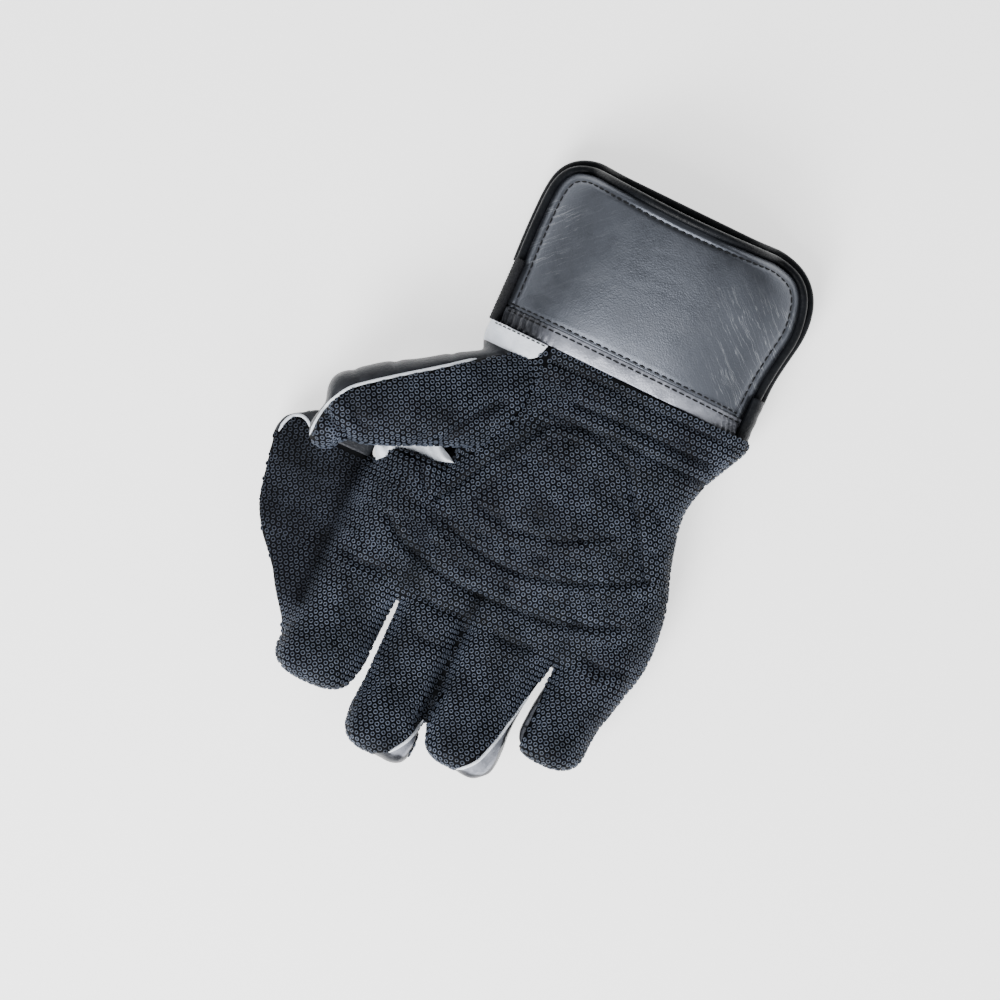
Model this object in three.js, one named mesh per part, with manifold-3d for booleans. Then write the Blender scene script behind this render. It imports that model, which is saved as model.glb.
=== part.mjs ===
// Right-hand wicketkeeping glove lying on its back, palm up. Millimetres, +Z up.
// The cuff points to +Y, the fingers to -Y and the thumb to -X. z = 0 is the floor.
import * as THREE from "three";
import { mergeVertices } from "three/addons/utils/BufferGeometryUtils.js";
import Module from "manifold-3d";

const wasm = await Module();
wasm.setup();

// Driving sizes
const HAND_LENGTH = 200; // wrist seam to the longest fingertip, along Y
const HAND_WIDTH = 160; // across the four fingers, along X
const HAND_DEPTH = 44; // floor to the palm facing
const CUFF_LENGTH = 84; // wrist seam to the cuff's top edge
const CUFF_WIDTH = 130; // across the cuff panels
const CUFF_RISE = 27; // arch of the front panel above its side edges
const CUFF_DROP = 25; // drop of the back panel below its side edges
const FRONT_EDGE_HEIGHT = 24; // side edges of the front panel above the floor
const BACK_EDGE_HEIGHT = 16; // side edges of the back panel above the floor
const RUBBER = 2.6; // wall of the pimpled facing
const LEATHER = 3.6; // wall of the padded back
const SIDE_WALL = 3; // wall at the sides of the palm and fingers
const PAD_THICK = 7; // cuff panels at their middle
const PAD_EDGE = 3.4; // cuff panels at their edges
const BAND_THICK = 2.4; // flat strip below the cuff pad
const STRIP_THICK = 1.8; // side strips of the cuff
const STRIP_REACH = 4.6; // how far the side strips stand out past the panels
const PIPING_RADIUS = 2;
const PIPING_STEPS = 32;
const WELT_RADIUS = 1;
const GAP = 0.3; // clearance between neighbouring pieces
const WALL_BAND = 9; // height of the fingers' side walls below the facing
const WEB_HALF = 3.5; // half the thickness of the webbing

// Shares used by the shapes
const FINGER_SPLIT = -0.385; // where the finger backs start, share of HAND_LENGTH
const PALM_POWER = 3;
const FINGER_POWER = 2.5;
const CAP_STEPS = 3;
const CAP_ROUND = 0.65; // how blunt the fingertips are
const FAR = 2; // reach of the cutting blocks, share of HAND_LENGTH

const along = (share) => share * HAND_LENGTH;
const across = (share) => share * HAND_WIDTH;
const up = (share) => share * HAND_DEPTH;

// Limb rows: along = share of HAND_LENGTH, left and right = shares of HAND_WIDTH,
// middle, front and back = centre height and depths as shares of HAND_DEPTH.
const rowsOf = (rows) =>
  rows.map(([a, left, right, middle, front, back]) => ({
    y: along(a),
    left: across(left),
    right: across(right),
    z: up(middle),
    front: up(front),
    back: up(back),
  }));

const PALM_ROWS = rowsOf([
  [0.34, -0.28, 0.525, 0.5, 0.46, 0.6],
  [0.265, -0.287, 0.528, 0.5, 0.46, 0.6],
  [0.21, -0.262, 0.498, 0.5, 0.46, 0.6],
  [0.14, -0.24, 0.455, 0.5, 0.46, 0.6],
  [0.06, -0.235, 0.436, 0.5, 0.46, 0.6],
  [-0.04, -0.225, 0.46, 0.5, 0.46, 0.6],
  [-0.15, -0.29, 0.502, 0.49, 0.44, 0.58],
  [-0.26, -0.4, 0.516, 0.48, 0.41, 0.55],
  [-0.335, -0.43, 0.503, 0.48, 0.37, 0.5],
]);
const INDEX_ROWS = rowsOf([
  [-0.068, -0.412, -0.205, 0.48, 0.38, 0.5],
  [-0.15, -0.43, -0.2, 0.48, 0.4, 0.52],
  [-0.26, -0.443, -0.2, 0.49, 0.4, 0.5],
  [-0.35, -0.447, -0.203, 0.51, 0.38, 0.42],
  [-0.45, -0.45, -0.206, 0.57, 0.36, 0.37],
  [-0.53, -0.46, -0.207, 0.66, 0.34, 0.34],
  [-0.565, -0.464, -0.217, 0.7, 0.32, 0.32],
]);
const MIDDLE_ROWS = rowsOf([
  [-0.26, -0.18, -0.02, 0.49, 0.36, 0.46],
  [-0.35, -0.197, -0.0025, 0.51, 0.38, 0.42],
  [-0.45, -0.199, -0.0025, 0.59, 0.35, 0.37],
  [-0.55, -0.2, -0.003, 0.7, 0.33, 0.33],
  [-0.62, -0.202, -0.0025, 0.82, 0.32, 0.32],
  [-0.65, -0.2, -0.0025, 0.87, 0.31, 0.31],
]);
const RING_ROWS = rowsOf([
  [-0.26, 0.02, 0.255, 0.49, 0.36, 0.46],
  [-0.35, 0.0025, 0.272, 0.51, 0.38, 0.42],
  [-0.45, 0.0025, 0.25, 0.59, 0.35, 0.37],
  [-0.525, 0.005, 0.241, 0.68, 0.33, 0.33],
  [-0.59, 0.012, 0.238, 0.78, 0.32, 0.32],
  [-0.615, 0.023, 0.236, 0.82, 0.31, 0.31],
]);
const LITTLE_ROWS = rowsOf([
  [-0.26, 0.3, 0.48, 0.49, 0.34, 0.46],
  [-0.335, 0.286, 0.496, 0.5, 0.375, 0.44],
  [-0.41, 0.269, 0.479, 0.54, 0.35, 0.38],
  [-0.45, 0.257, 0.465, 0.58, 0.34, 0.35],
  [-0.5, 0.252, 0.457, 0.64, 0.33, 0.33],
  [-0.52, 0.252, 0.455, 0.67, 0.32, 0.32],
]);
// Webbing rows: along, left, right. Its height follows the seam.
const WEB_ROWS = [
  [-0.062, -0.655, -0.43],
  [-0.09, -0.7, -0.43],
  [-0.14, -0.716, -0.42],
  [-0.225, -0.698, -0.41],
  [-0.3, -0.66, -0.41],
  [-0.375, -0.607, -0.42],
  [-0.45, -0.543, -0.43],
  [-0.52, -0.48, -0.44],
];
// Thumb rows: reach = distance from the thumb's root along its axis, half = half width,
// both shares of HAND_WIDTH; middle, front and back are shares of HAND_DEPTH.
const THUMB_ROWS = [
  [0, 0.132, 0.62, 0.35, 0.42],
  [0.11, 0.137, 0.71, 0.36, 0.38],
  [0.215, 0.132, 0.82, 0.36, 0.35],
  [0.32, 0.122, 0.92, 0.34, 0.33],
  [0.425, 0.115, 0.99, 0.33, 0.32],
  [0.51, 0.105, 1.03, 0.32, 0.31],
];
const THUMB_ROOT_ACROSS = -0.095;
const THUMB_ROOT_ALONG = 0.174;
const THUMB_TURN = 27.2; // degrees of the thumb's axis below -X

// Rounded ends, shares of HAND_LENGTH
const PALM_CAP = 0.03;
const INDEX_CAP = 0.053;
const MIDDLE_CAP = 0.055;
const RING_CAP = 0.056;
const LITTLE_CAP = 0.054;
const WEB_CAP = 0.022;
const THUMB_CAP = 0.062;
const ROOT_CAP = 0.018;

// Seam between facing and back: along, height as share of HAND_DEPTH.
const SEAM_ROWS = [
  [0.6, 0.47],
  [-0.25, 0.46],
  [-0.35, 0.47],
  [-0.45, 0.53],
  [-0.55, 0.63],
  [-0.62, 0.73],
  [-0.8, 0.95],
];

function seamHeight(y) {
  const a = y / HAND_LENGTH;
  for (let i = 1; i < SEAM_ROWS.length; i++) {
    const [a0, h0] = SEAM_ROWS[i - 1];
    const [a1, h1] = SEAM_ROWS[i];
    if (a >= a1 || i === SEAM_ROWS.length - 1) {
      return up(h0 + ((h1 - h0) * (a0 - a)) / (a0 - a1));
    }
  }
  return up(SEAM_ROWS[0][1]);
}

// Solids
function solidFrom(geometry) {
  const plain = geometry.clone();
  plain.deleteAttribute("normal");
  plain.deleteAttribute("uv");
  const merged = mergeVertices(plain, 1e-4);
  return new wasm.Manifold(
    new wasm.Mesh({
      numProp: 3,
      vertProperties: merged.attributes.position.array,
      triVerts: new Uint32Array(merged.index.array),
    }),
  );
}

function closedSolid(points, faces) {
  const geometry = new THREE.BufferGeometry();
  let volume = 0;
  for (const [a, b, c] of faces) {
    volume += points[a].dot(new THREE.Vector3().crossVectors(points[b], points[c]));
  }
  const index = faces.flatMap(([a, b, c]) => (volume < 0 ? [a, c, b] : [a, b, c]));
  geometry.setAttribute(
    "position",
    new THREE.Float32BufferAttribute(
      points.flatMap((p) => [p.x, p.y, p.z]),
      3,
    ),
  );
  geometry.setIndex(index);
  return solidFrom(geometry);
}

// Skin over a run of equal closed loops, with flat fans at both ends.
function loft(loops) {
  const n = loops[0].length;
  const points = loops.flat();
  const faces = [];
  for (let r = 0; r + 1 < loops.length; r++) {
    for (let i = 0; i < n; i++) {
      const j = (i + 1) % n;
      const a = r * n + i;
      const b = r * n + j;
      faces.push([a, b, b + n], [a, b + n, a + n]);
    }
  }
  const last = (loops.length - 1) * n;
  for (let i = 1; i + 1 < n; i++) {
    faces.push([0, i + 1, i], [last, last + i, last + i + 1]);
  }
  return closedSolid(points, faces);
}

// Closed plate between two grids of the same size.
function plate(upper, lower) {
  const rows = upper.length;
  const columns = upper[0].length;
  const points = [...upper.flat(), ...lower.flat()];
  const base = rows * columns;
  const at = (r, c) => r * columns + c;
  const faces = [];
  for (let r = 0; r + 1 < rows; r++) {
    for (let c = 0; c + 1 < columns; c++) {
      const q = [at(r, c), at(r, c + 1), at(r + 1, c + 1), at(r + 1, c)];
      faces.push([q[0], q[1], q[2]], [q[0], q[2], q[3]]);
      faces.push([base + q[0], base + q[2], base + q[1]]);
      faces.push([base + q[0], base + q[3], base + q[2]]);
    }
  }
  const rim = [];
  for (let c = 0; c + 1 < columns; c++) rim.push(at(0, c));
  for (let r = 0; r + 1 < rows; r++) rim.push(at(r, columns - 1));
  for (let c = columns - 1; c > 0; c--) rim.push(at(rows - 1, c));
  for (let r = rows - 1; r > 0; r--) rim.push(at(r, 0));
  rim.forEach((a, i) => {
    const b = rim[(i + 1) % rim.length];
    faces.push([a, base + a, base + b], [a, base + b, b]);
  });
  return closedSolid(points, faces);
}

// Upright block over a plan outline.
function block(outline, low = -up(FAR), high = up(2 * FAR)) {
  const shape = new THREE.Shape(outline.map(([x, y]) => new THREE.Vector2(x, y)));
  const geometry = new THREE.ExtrudeGeometry(shape, { depth: high - low, bevelEnabled: false });
  geometry.translate(0, 0, low);
  return solidFrom(geometry);
}

const planOutline = (rows, dx = 0, dy = 0) =>
  rows.map(([x, a]) => [across(x) + dx, along(a) + dy]);

// Everything above the seam, lowered by a clearance.
function aboveSeam(lower) {
  const profile = SEAM_ROWS.map(([a, h]) => new THREE.Vector2(along(a), up(h) - lower));
  profile.push(new THREE.Vector2(along(SEAM_ROWS.at(-1)[0]), up(2 * FAR)));
  profile.push(new THREE.Vector2(along(SEAM_ROWS[0][0]), up(2 * FAR)));
  const width = across(FAR);
  const geometry = new THREE.ExtrudeGeometry(new THREE.Shape(profile), {
    depth: width,
    bevelEnabled: false,
  });
  geometry.applyMatrix4(
    new THREE.Matrix4().makeBasis(
      new THREE.Vector3(0, 1, 0),
      new THREE.Vector3(0, 0, 1),
      new THREE.Vector3(1, 0, 0),
    ),
  );
  geometry.translate(-width / 2, 0, 0);
  return solidFrom(geometry);
}

// One loop of a limb: rounded box section in the plane of `side` and +Z.
function section(centre, side, half, front, back, power, segments, floor) {
  const loop = [];
  for (let i = 0; i < segments; i++) {
    const turn = (2 * Math.PI * (i + 0.5)) / segments;
    const c = Math.cos(turn);
    const s = Math.sin(turn);
    const u = half * Math.sign(c) * Math.abs(c) ** (2 / power);
    const v = (s > 0 ? front : back) * Math.sign(s) * Math.abs(s) ** (2 / power);
    const p = centre.clone().addScaledVector(side, u);
    p.z = Math.max(p.z + v, floor);
    loop.push(p);
  }
  return loop;
}

// A limb from its stations. `inset` holds wall thicknesses taken off for the hollow.
function limb(stations, axis, cap, rootCap, power, segments, inset) {
  const side = new THREE.Vector3(-axis.y, axis.x, 0);
  const floor = inset ? inset.back : 0;
  const loops = [];
  const add = (s, share, reach, rise) => {
    const centre = s.centre.clone().addScaledVector(axis, reach);
    centre.z += rise;
    const half = Math.max(s.half - (inset ? inset.side : 0), GAP) * share;
    const front = Math.max(s.front - (inset ? inset.front : 0), GAP) * share;
    const back = Math.max(s.back - (inset ? inset.back : 0), GAP) * share;
    loops.push(section(centre, side, half, front, back, power, segments, floor));
  };
  const first = stations[0];
  const last = stations.at(-1);
  const before = stations.at(-2);
  const run = last.centre.clone().sub(before.centre);
  const slope = run.z / Math.hypot(run.x, run.y);
  if (rootCap > 0) add(first, 0.75, -rootCap, 0);
  stations.forEach((s) => add(s, 1, 0, 0));
  const length = Math.max(cap - (inset ? inset.side : 0), GAP);
  for (let i = 1; i <= CAP_STEPS; i++) {
    const turn = (0.47 * Math.PI * i) / CAP_STEPS;
    const reach = length * Math.sin(turn);
    add(last, Math.cos(turn) ** CAP_ROUND, reach, reach * slope);
  }
  return loft(loops);
}

const handStations = (rows) =>
  rows.map((r) => ({
    centre: new THREE.Vector3((r.left + r.right) / 2, r.y, r.z),
    half: (r.right - r.left) / 2,
    front: r.front,
    back: r.back,
  }));

const fingersWay = new THREE.Vector3(0, -1, 0);
const thumbAngle = THREE.MathUtils.degToRad(THUMB_TURN);
const thumbWay = new THREE.Vector3(-Math.cos(thumbAngle), -Math.sin(thumbAngle), 0);
const walls = { side: SIDE_WALL, front: RUBBER, back: LEATHER };
const PALM_SEGMENTS = 26;
const FINGER_SEGMENTS = 14;

const palmStations = handStations(PALM_ROWS);
const thumbStations = THUMB_ROWS.map(([reach, half, middle, front, back]) => ({
  centre: new THREE.Vector3(across(THUMB_ROOT_ACROSS), along(THUMB_ROOT_ALONG), up(middle)).addScaledVector(
    thumbWay,
    across(reach),
  ),
  half: across(half),
  front: up(front),
  back: up(back),
}));
const webStations = WEB_ROWS.map(([a, left, right]) => ({
  centre: new THREE.Vector3(across((left + right) / 2), along(a), seamHeight(along(a))),
  half: across((right - left) / 2),
  front: WEB_HALF,
  back: WEB_HALF,
}));

const limbs = {
  index: [handStations(INDEX_ROWS), INDEX_CAP],
  middle: [handStations(MIDDLE_ROWS), MIDDLE_CAP],
  ring: [handStations(RING_ROWS), RING_CAP],
  little: [handStations(LITTLE_ROWS), LITTLE_CAP],
};
const outer = {};
const hollow = {};
for (const [name, [stations, cap]] of Object.entries(limbs)) {
  const rootCap = name === "index" ? along(ROOT_CAP) : 0;
  outer[name] = limb(stations, fingersWay, along(cap), rootCap, FINGER_POWER, FINGER_SEGMENTS, null);
  hollow[name] = limb(stations, fingersWay, along(cap), 0, FINGER_POWER, FINGER_SEGMENTS, walls);
}
outer.palm = limb(palmStations, fingersWay, along(PALM_CAP), 0, PALM_POWER, PALM_SEGMENTS, null);
hollow.palm = limb(palmStations, fingersWay, along(PALM_CAP), 0, PALM_POWER, PALM_SEGMENTS, walls);
outer.thumb = limb(thumbStations, thumbWay, along(THUMB_CAP), 0, FINGER_POWER, FINGER_SEGMENTS, null);
hollow.thumb = limb(thumbStations, thumbWay, along(THUMB_CAP), 0, FINGER_POWER, FINGER_SEGMENTS, walls);
outer.web = limb(webStations, fingersWay, along(WEB_CAP), along(WEB_CAP), FINGER_POWER, FINGER_SEGMENTS, null);

const joined = (solids) => solids.reduce((a, b) => a.add(b));
const insides = joined(Object.values(hollow));

// A body grown by the clearance, for cutting its neighbours.
function grown(stations, axis, cap, rootCap, power, segments) {
  return limb(stations, axis, cap + GAP, rootCap && rootCap + GAP, power, segments, {
    side: -GAP,
    front: -GAP,
    back: -GAP,
  });
}
const palmGrown = grown(palmStations, fingersWay, along(PALM_CAP), 0, PALM_POWER, PALM_SEGMENTS);
const indexGrown = grown(limbs.index[0], fingersWay, along(INDEX_CAP), along(ROOT_CAP), FINGER_POWER, FINGER_SEGMENTS);
const thumbGrown = grown(thumbStations, thumbWay, along(THUMB_CAP), 0, FINGER_POWER, FINGER_SEGMENTS);
const webGrown = grown(webStations, fingersWay, along(WEB_CAP), along(WEB_CAP), FINGER_POWER, FINGER_SEGMENTS);

// Plan lines: across, along
const WRIST_LEFT = 0.303; // wrist seam at the thumb side, share of HAND_LENGTH
const WRIST_RIGHT = 0.275; // wrist seam at the little finger side
const CREASE_LINE = [
  [-0.1, 0.45],
  [-0.095, 0.23],
  [-0.1, 0.15],
  [-0.12, 0.075],
  [-0.162, 0.02],
  [-0.225, -0.035],
];
const WRIST_PANEL_LINE = [
  [-0.5, 0.247],
  [-0.25, 0.247],
  [-0.14, 0.247],
  [-0.12, 0.26],
  [-0.1, 0.31],
  [-0.08, 0.45],
  [-0.5, 0.45],
];
const THUMB_WELT_LINE = [
  [-0.2, 0.245],
  [-0.28, 0.205],
  [-0.37, 0.155],
  [-0.44, 0.118],
  [-0.52, 0.072],
  [-0.575, 0.035],
  [-0.598, 0.005],
  [-0.607, -0.03],
  [-0.61, -0.075],
];
const RING_WALL_LINE = [
  [0.27, -0.36],
  [0.245, -0.44],
  [0.222, -0.53],
  [0.2, -0.6],
  [0.16, -0.655],
];
const MIDDLE_WALL_LINE = [
  [0, -0.56],
  [-0.012, -0.61],
  [-0.032, -0.66],
  [-0.075, -0.7],
];
const WEB_WELT_LINE = [
  [-0.7, -0.1],
  [-0.69, -0.084],
  [-0.67, -0.077],
  [-0.65, -0.078],
  [-0.633, -0.086],
  [-0.615, -0.1],
];

const wristLine = (shift) => [
  [-across(1), along(WRIST_LEFT) + ((WRIST_LEFT - WRIST_RIGHT) * HAND_LENGTH) / 2 + shift],
  [across(1), along(WRIST_RIGHT) - ((WRIST_LEFT - WRIST_RIGHT) * HAND_LENGTH) / 2 + shift],
];
const belowWrist = block([...wristLine(0), [across(1), -along(1)], [-across(1), -along(1)]]);
const creaseSide = (shift) =>
  block([...planOutline(CREASE_LINE, -shift, 0), [-across(1), along(-0.035)], [-across(1), along(0.45)]]);
const creaseHalf = (shift) =>
  block([
    ...planOutline(CREASE_LINE, -shift, 0),
    [across(-0.225) - shift, along(-1)],
    [-across(1), along(-1)],
    [-across(1), along(0.45)],
  ]);
const wristPanelPlan = (shift) => block(planOutline(WRIST_PANEL_LINE, shift, -shift));
const rightOf = (line, shift) => {
  const outline = planOutline(line, shift, 0);
  return block([
    ...outline,
    [outline.at(-1)[0], along(-1)],
    [across(0.276), along(-1)],
    [across(0.276), outline[0][1]],
  ]);
};
const middleWallPlan = (shift) => {
  const outline = planOutline(MIDDLE_WALL_LINE, shift, 0);
  return block([...outline, [outline.at(-1)[0], along(-1)], [0, along(-1)]]);
};
const thumbLeather = (shift) => {
  const outline = planOutline(THUMB_WELT_LINE, -shift, shift);
  return block([
    ...outline,
    [outline.at(-1)[0], along(-0.3)],
    [-across(1), along(-0.3)],
    [-across(1), along(0.45)],
    [outline[0][0], along(0.45)],
  ]);
};

// The leather turns over the webbing's upper corner, above the welt.
const webLeather = (shift) =>
  block([
    [-across(1), along(WEB_WELT_LINE[0][1]) + shift],
    ...planOutline(WEB_WELT_LINE, 0, shift),
    [-across(0.44), along(-0.1) + shift],
    [-across(0.44), along(0.3)],
    [-across(1), along(0.3)],
  ]);

const above = aboveSeam(0);
const aboveGrown = aboveSeam(GAP);
const aboveWalls = aboveSeam(WALL_BAND);
const aboveWallsGrown = aboveSeam(WALL_BAND + GAP);
const sideWalls = (shift) => rightOf(RING_WALL_LINE, shift).add(middleWallPlan(shift));
const frontPart = above.subtract(sideWalls(0));
const frontGrown = aboveGrown.subtract(sideWalls(GAP));

const fingers = joined([outer.index, outer.middle, outer.ring, outer.little]);
const handSolid = joined([outer.palm, fingers, outer.web]).intersect(belowWrist);

// Thumb seam: the leather wraps over the upper side, and the whole thumb is cut along its middle.
const THUMB_SEAM = 0.72; // seam height at the thumb's root, share of HAND_DEPTH
const THUMB_SEAM_RISE = 0.3; // rise of that seam to the tip
const thumbAbove = (lower) => {
  const low = up(THUMB_SEAM) - lower;
  const high = up(THUMB_SEAM + THUMB_SEAM_RISE) - lower;
  const start = -across(0.3);
  const end = across(0.75);
  const at = (reach, side, z) =>
    new THREE.Vector3(across(THUMB_ROOT_ACROSS), along(THUMB_ROOT_ALONG), z)
      .addScaledVector(thumbWay, reach)
      .addScaledVector(new THREE.Vector3(-thumbWay.y, thumbWay.x, 0), side);
  const w = across(0.5);
  const top = up(3);
  return loft([
    [at(start, -w, low), at(start, w, low), at(start, w, top), at(start, -w, top)],
    [at(0, -w, low), at(0, w, low), at(0, w, top), at(0, -w, top)],
    [at(end, -w, high), at(end, w, high), at(end, w, top), at(end, -w, top)],
  ]);
};
const thumbOnly = outer.thumb.intersect(belowWrist);
const thumbFrontAll = thumbOnly.intersect(thumbAbove(0)).subtract(thumbLeather(0));
const thumbFrontGrown = thumbGrown.intersect(thumbAbove(GAP)).subtract(thumbLeather(GAP));
const palmOnly = outer.palm.intersect(belowWrist);

// Welts: tubes laid on the surface along plan lines.
function surfacePoint(target, x, y) {
  const ray = new THREE.Raycaster(new THREE.Vector3(x, y, up(3 * FAR)), new THREE.Vector3(0, 0, -1));
  const hit = ray.intersectObject(target)[0];
  return hit ? hit.point : null;
}
function meshOf(solid) {
  const made = solid.getMesh();
  const geometry = new THREE.BufferGeometry();
  geometry.setAttribute("position", new THREE.BufferAttribute(new Float32Array(made.vertProperties), 3));
  geometry.setIndex(new THREE.BufferAttribute(new Uint32Array(made.triVerts), 1));
  return new THREE.Mesh(geometry, new THREE.MeshStandardMaterial({ side: THREE.DoubleSide }));
}
function tubeAlong(points, radius, steps, sides) {
  const curve = new THREE.CatmullRomCurve3(points, false, "centripetal");
  const round = new THREE.Shape();
  for (let i = 0; i < sides; i++) {
    const turn = (2 * Math.PI * i) / sides;
    const x = radius * Math.cos(turn);
    const y = radius * Math.sin(turn);
    if (i === 0) round.moveTo(x, y);
    else round.lineTo(x, y);
  }
  round.closePath();
  return solidFrom(new THREE.ExtrudeGeometry(round, { steps, bevelEnabled: false, extrudePath: curve }));
}
function weltOn(solid, line, dx, dy) {
  const target = meshOf(solid);
  const points = planOutline(line, dx, dy)
    .map(([x, y]) => surfacePoint(target, x, y))
    .filter((p) => p);
  points.forEach((p) => {
    p.z -= WELT_RADIUS * 0.2;
  });
  return {
    tube: tubeAlong(points, WELT_RADIUS, points.length * 2, 6),
    groove: tubeAlong(points, WELT_RADIUS + GAP * 1.4, points.length * 2, 6),
  };
}
const welts = {
  thumb: weltOn(outer.thumb, THUMB_WELT_LINE.slice(2, -1), 0, 0),
  middle: weltOn(outer.middle, MIDDLE_WALL_LINE.slice(1, -1), 0, 0),
  ring: weltOn(outer.ring, RING_WALL_LINE.slice(1), 0, 0),
  web: weltOn(outer.web, WEB_WELT_LINE, 0, 0),
};
const grooves = joined(Object.values(welts).map((w) => w.groove));

const cutOut = (solid) => solid.subtract(insides).subtract(grooves);

// Facings
const wristPanel = cutOut(
  joined([palmOnly, thumbOnly]).intersect(above).intersect(wristPanelPlan(0)).subtract(hollow.thumb),
);
const thumbFacing = cutOut(
  thumbFrontAll
    .intersect(creaseHalf(0))
    .add(palmOnly.intersect(above).intersect(creaseSide(0)).subtract(thumbLeather(0)))
    .subtract(wristPanelPlan(GAP)),
);
const webSheet = outer.web.subtract(webLeather(0));
const facingBody = palmOnly
  .intersect(above)
  .subtract(creaseSide(-GAP))
  .subtract(wristPanelPlan(GAP))
  .add(fingers.add(webSheet).intersect(frontPart).subtract(creaseSide(-GAP)));

// Thumb back, outside the palm body
const thumbBack = cutOut(
  thumbOnly.subtract(thumbFrontGrown).subtract(palmGrown).subtract(wristPanelPlan(GAP).intersect(palmGrown)),
);

// Backs of the hand, webbing and fingers
const splitY = along(FINGER_SPLIT);
const handZone = block([
  [-across(1), splitY],
  [across(1), splitY],
  [across(1), along(1)],
  [-across(1), along(1)],
]);
const fingerZone = block([
  [-across(1), splitY - GAP],
  [across(1), splitY - GAP],
  [across(1), -along(1)],
  [-across(1), -along(1)],
]);
const palmFacing = cutOut(facingBody.intersect(handZone));
const handBack = cutOut(
  joined([outer.palm, fingers]).intersect(belowWrist).intersect(handZone).subtract(aboveGrown),
);
const webBack = cutOut(
  outer.web.subtract(aboveGrown.subtract(webLeather(GAP))).subtract(indexGrown).subtract(palmGrown),
);

const PALETTE = {
  rubber: [0x24282e, 0.85, 0],
  darkLeather: [0x4a4e56, 0.5, 0.1],
  blackLeather: [0x17181b, 0.45, 0],
  silver: [0x7a808b, 0.4, 0.5],
  paleSilver: [0xa6abb5, 0.4, 0.4],
  white: [0xd6dbe2, 0.55, 0],
};
const group = new THREE.Group();
group.name = "wicketkeeping_glove";
function put(name, solid, colour) {
  const kept = solid
    .decompose()
    .reduce((best, body) => (body.volume() > best.volume() ? body : best));
  const mesh = meshOf(kept);
  const [hex, roughness, metalness] = PALETTE[colour];
  mesh.material = new THREE.MeshStandardMaterial({ color: hex, roughness, metalness });
  mesh.name = name;
  group.add(mesh);
}

put("palm_facing", palmFacing, "rubber");
put("thumb_facing", thumbFacing, "rubber");
put("wrist_panel", wristPanel, "white");
put("thumb_back", thumbBack, "darkLeather");
put("hand_back", handBack, "darkLeather");
put("webbing_back", webBack, "darkLeather");
for (const name of Object.keys(limbs)) {
  const part = outer[name].intersect(fingerZone);
  const below = part.subtract(frontGrown);
  const sheet = name === "index" ? part.add(webSheet.intersect(fingerZone)) : part;
  put(name + "_facing", cutOut(sheet.intersect(frontPart)), "rubber");
  put(name + "_wall", cutOut(below.intersect(aboveWalls)), "paleSilver");
  put(name + "_back", cutOut(part.subtract(aboveWallsGrown)), "blackLeather");
}
for (const [name, made] of Object.entries(welts)) {
  put(name + "_welt", made.tube, "white");
}

// Web between thumb and index: a thin white tongue in the crotch.
const WEB_TONGUE_LINE = [
  [-0.2, -0.028],
  [-0.27, -0.022],
  [-0.34, -0.03],
  [-0.405, -0.06],
  [-0.39, -0.075],
  [-0.31, -0.06],
  [-0.2, -0.06],
];
const TONGUE_THICK = 2;
const tongueLow = up(0.62);
put(
  "web_tongue",
  block(planOutline(WEB_TONGUE_LINE), tongueLow, tongueLow + TONGUE_THICK)
    .subtract(palmGrown)
    .subtract(indexGrown)
    .subtract(thumbGrown)
    .subtract(webGrown),
  "white",
);

// Cuff panels: along = share of CUFF_LENGTH above the wrist seam, left and right = shares of CUFF_WIDTH.
const FRONT_PAD_ROWS = [
  [0.1, -0.327, 0.592],
  [0.3, -0.327, 0.596],
  [0.48, -0.33, 0.612],
  [0.62, -0.33, 0.627],
  [0.76, -0.327, 0.616],
  [0.845, -0.315, 0.594],
  [0.905, -0.285, 0.552],
  [0.935, -0.227, 0.478],
];
const BACK_PAD_ROWS = [
  [0.004, -0.327, 0.612],
  [0.3, -0.331, 0.6],
  [0.48, -0.335, 0.615],
  [0.65, -0.335, 0.634],
  [0.785, -0.331, 0.624],
  [0.875, -0.315, 0.594],
  [0.93, -0.277, 0.544],
  [0.955, -0.223, 0.475],
];
const BAND_ROWS = [
  [0, -0.327, 0.6],
  [0.09, -0.327, 0.592],
];
const FRONT_DIP = 0.045; // sag of the front panel's top edge, share of CUFF_LENGTH
const SEAM_TILT = (WRIST_LEFT - WRIST_RIGHT) * HAND_LENGTH; // the wrist seam runs down to the right
const PAD_COLUMNS = 12;
const wristY = along((WRIST_LEFT + WRIST_RIGHT) / 2);

// Plan point and side position of one panel vertex.
function panelPoint(row, column, columns, dip) {
  const [share, left, right] = row;
  const u = -Math.cos((Math.PI * column) / columns);
  const x = CUFF_WIDTH * ((left + right) / 2 + ((right - left) / 2) * u);
  const tilt = -SEAM_TILT * (x / across(1));
  const y = wristY + GAP + share * CUFF_LENGTH + tilt - dip * CUFF_LENGTH * share ** 4 * (1 - u * u);
  return { x, y, u, share };
}
const frontHeight = (u, share) => FRONT_EDGE_HEIGHT + CUFF_RISE * (0.72 + 0.28 * share) * (1 - Math.abs(u) ** 3);
const backHeight = (u) => Math.max(0, BACK_EDGE_HEIGHT - CUFF_DROP * (1 - Math.abs(u) ** 3));
const swell = (u, share, low, high) => {
  const middle = 1 - Math.abs(u) ** 4;
  const way = Math.min(1, Math.max(0, (share - low) * 8)) * Math.min(1, Math.max(0, (high - share) * 8));
  return PAD_EDGE + (PAD_THICK - PAD_EDGE) * middle * way;
};
function panel(rows, dip, upperOf, lowerOf) {
  const upper = [];
  const lower = [];
  for (const row of rows) {
    const points = [];
    for (let c = 0; c <= PAD_COLUMNS; c++) points.push(panelPoint(row, c, PAD_COLUMNS, dip));
    upper.push(points.map((p) => new THREE.Vector3(p.x, p.y, upperOf(p))));
    lower.push(points.map((p) => new THREE.Vector3(p.x, p.y, lowerOf(p))));
  }
  return plate(upper, lower);
}
const frontLow = FRONT_PAD_ROWS[0][0];
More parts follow.
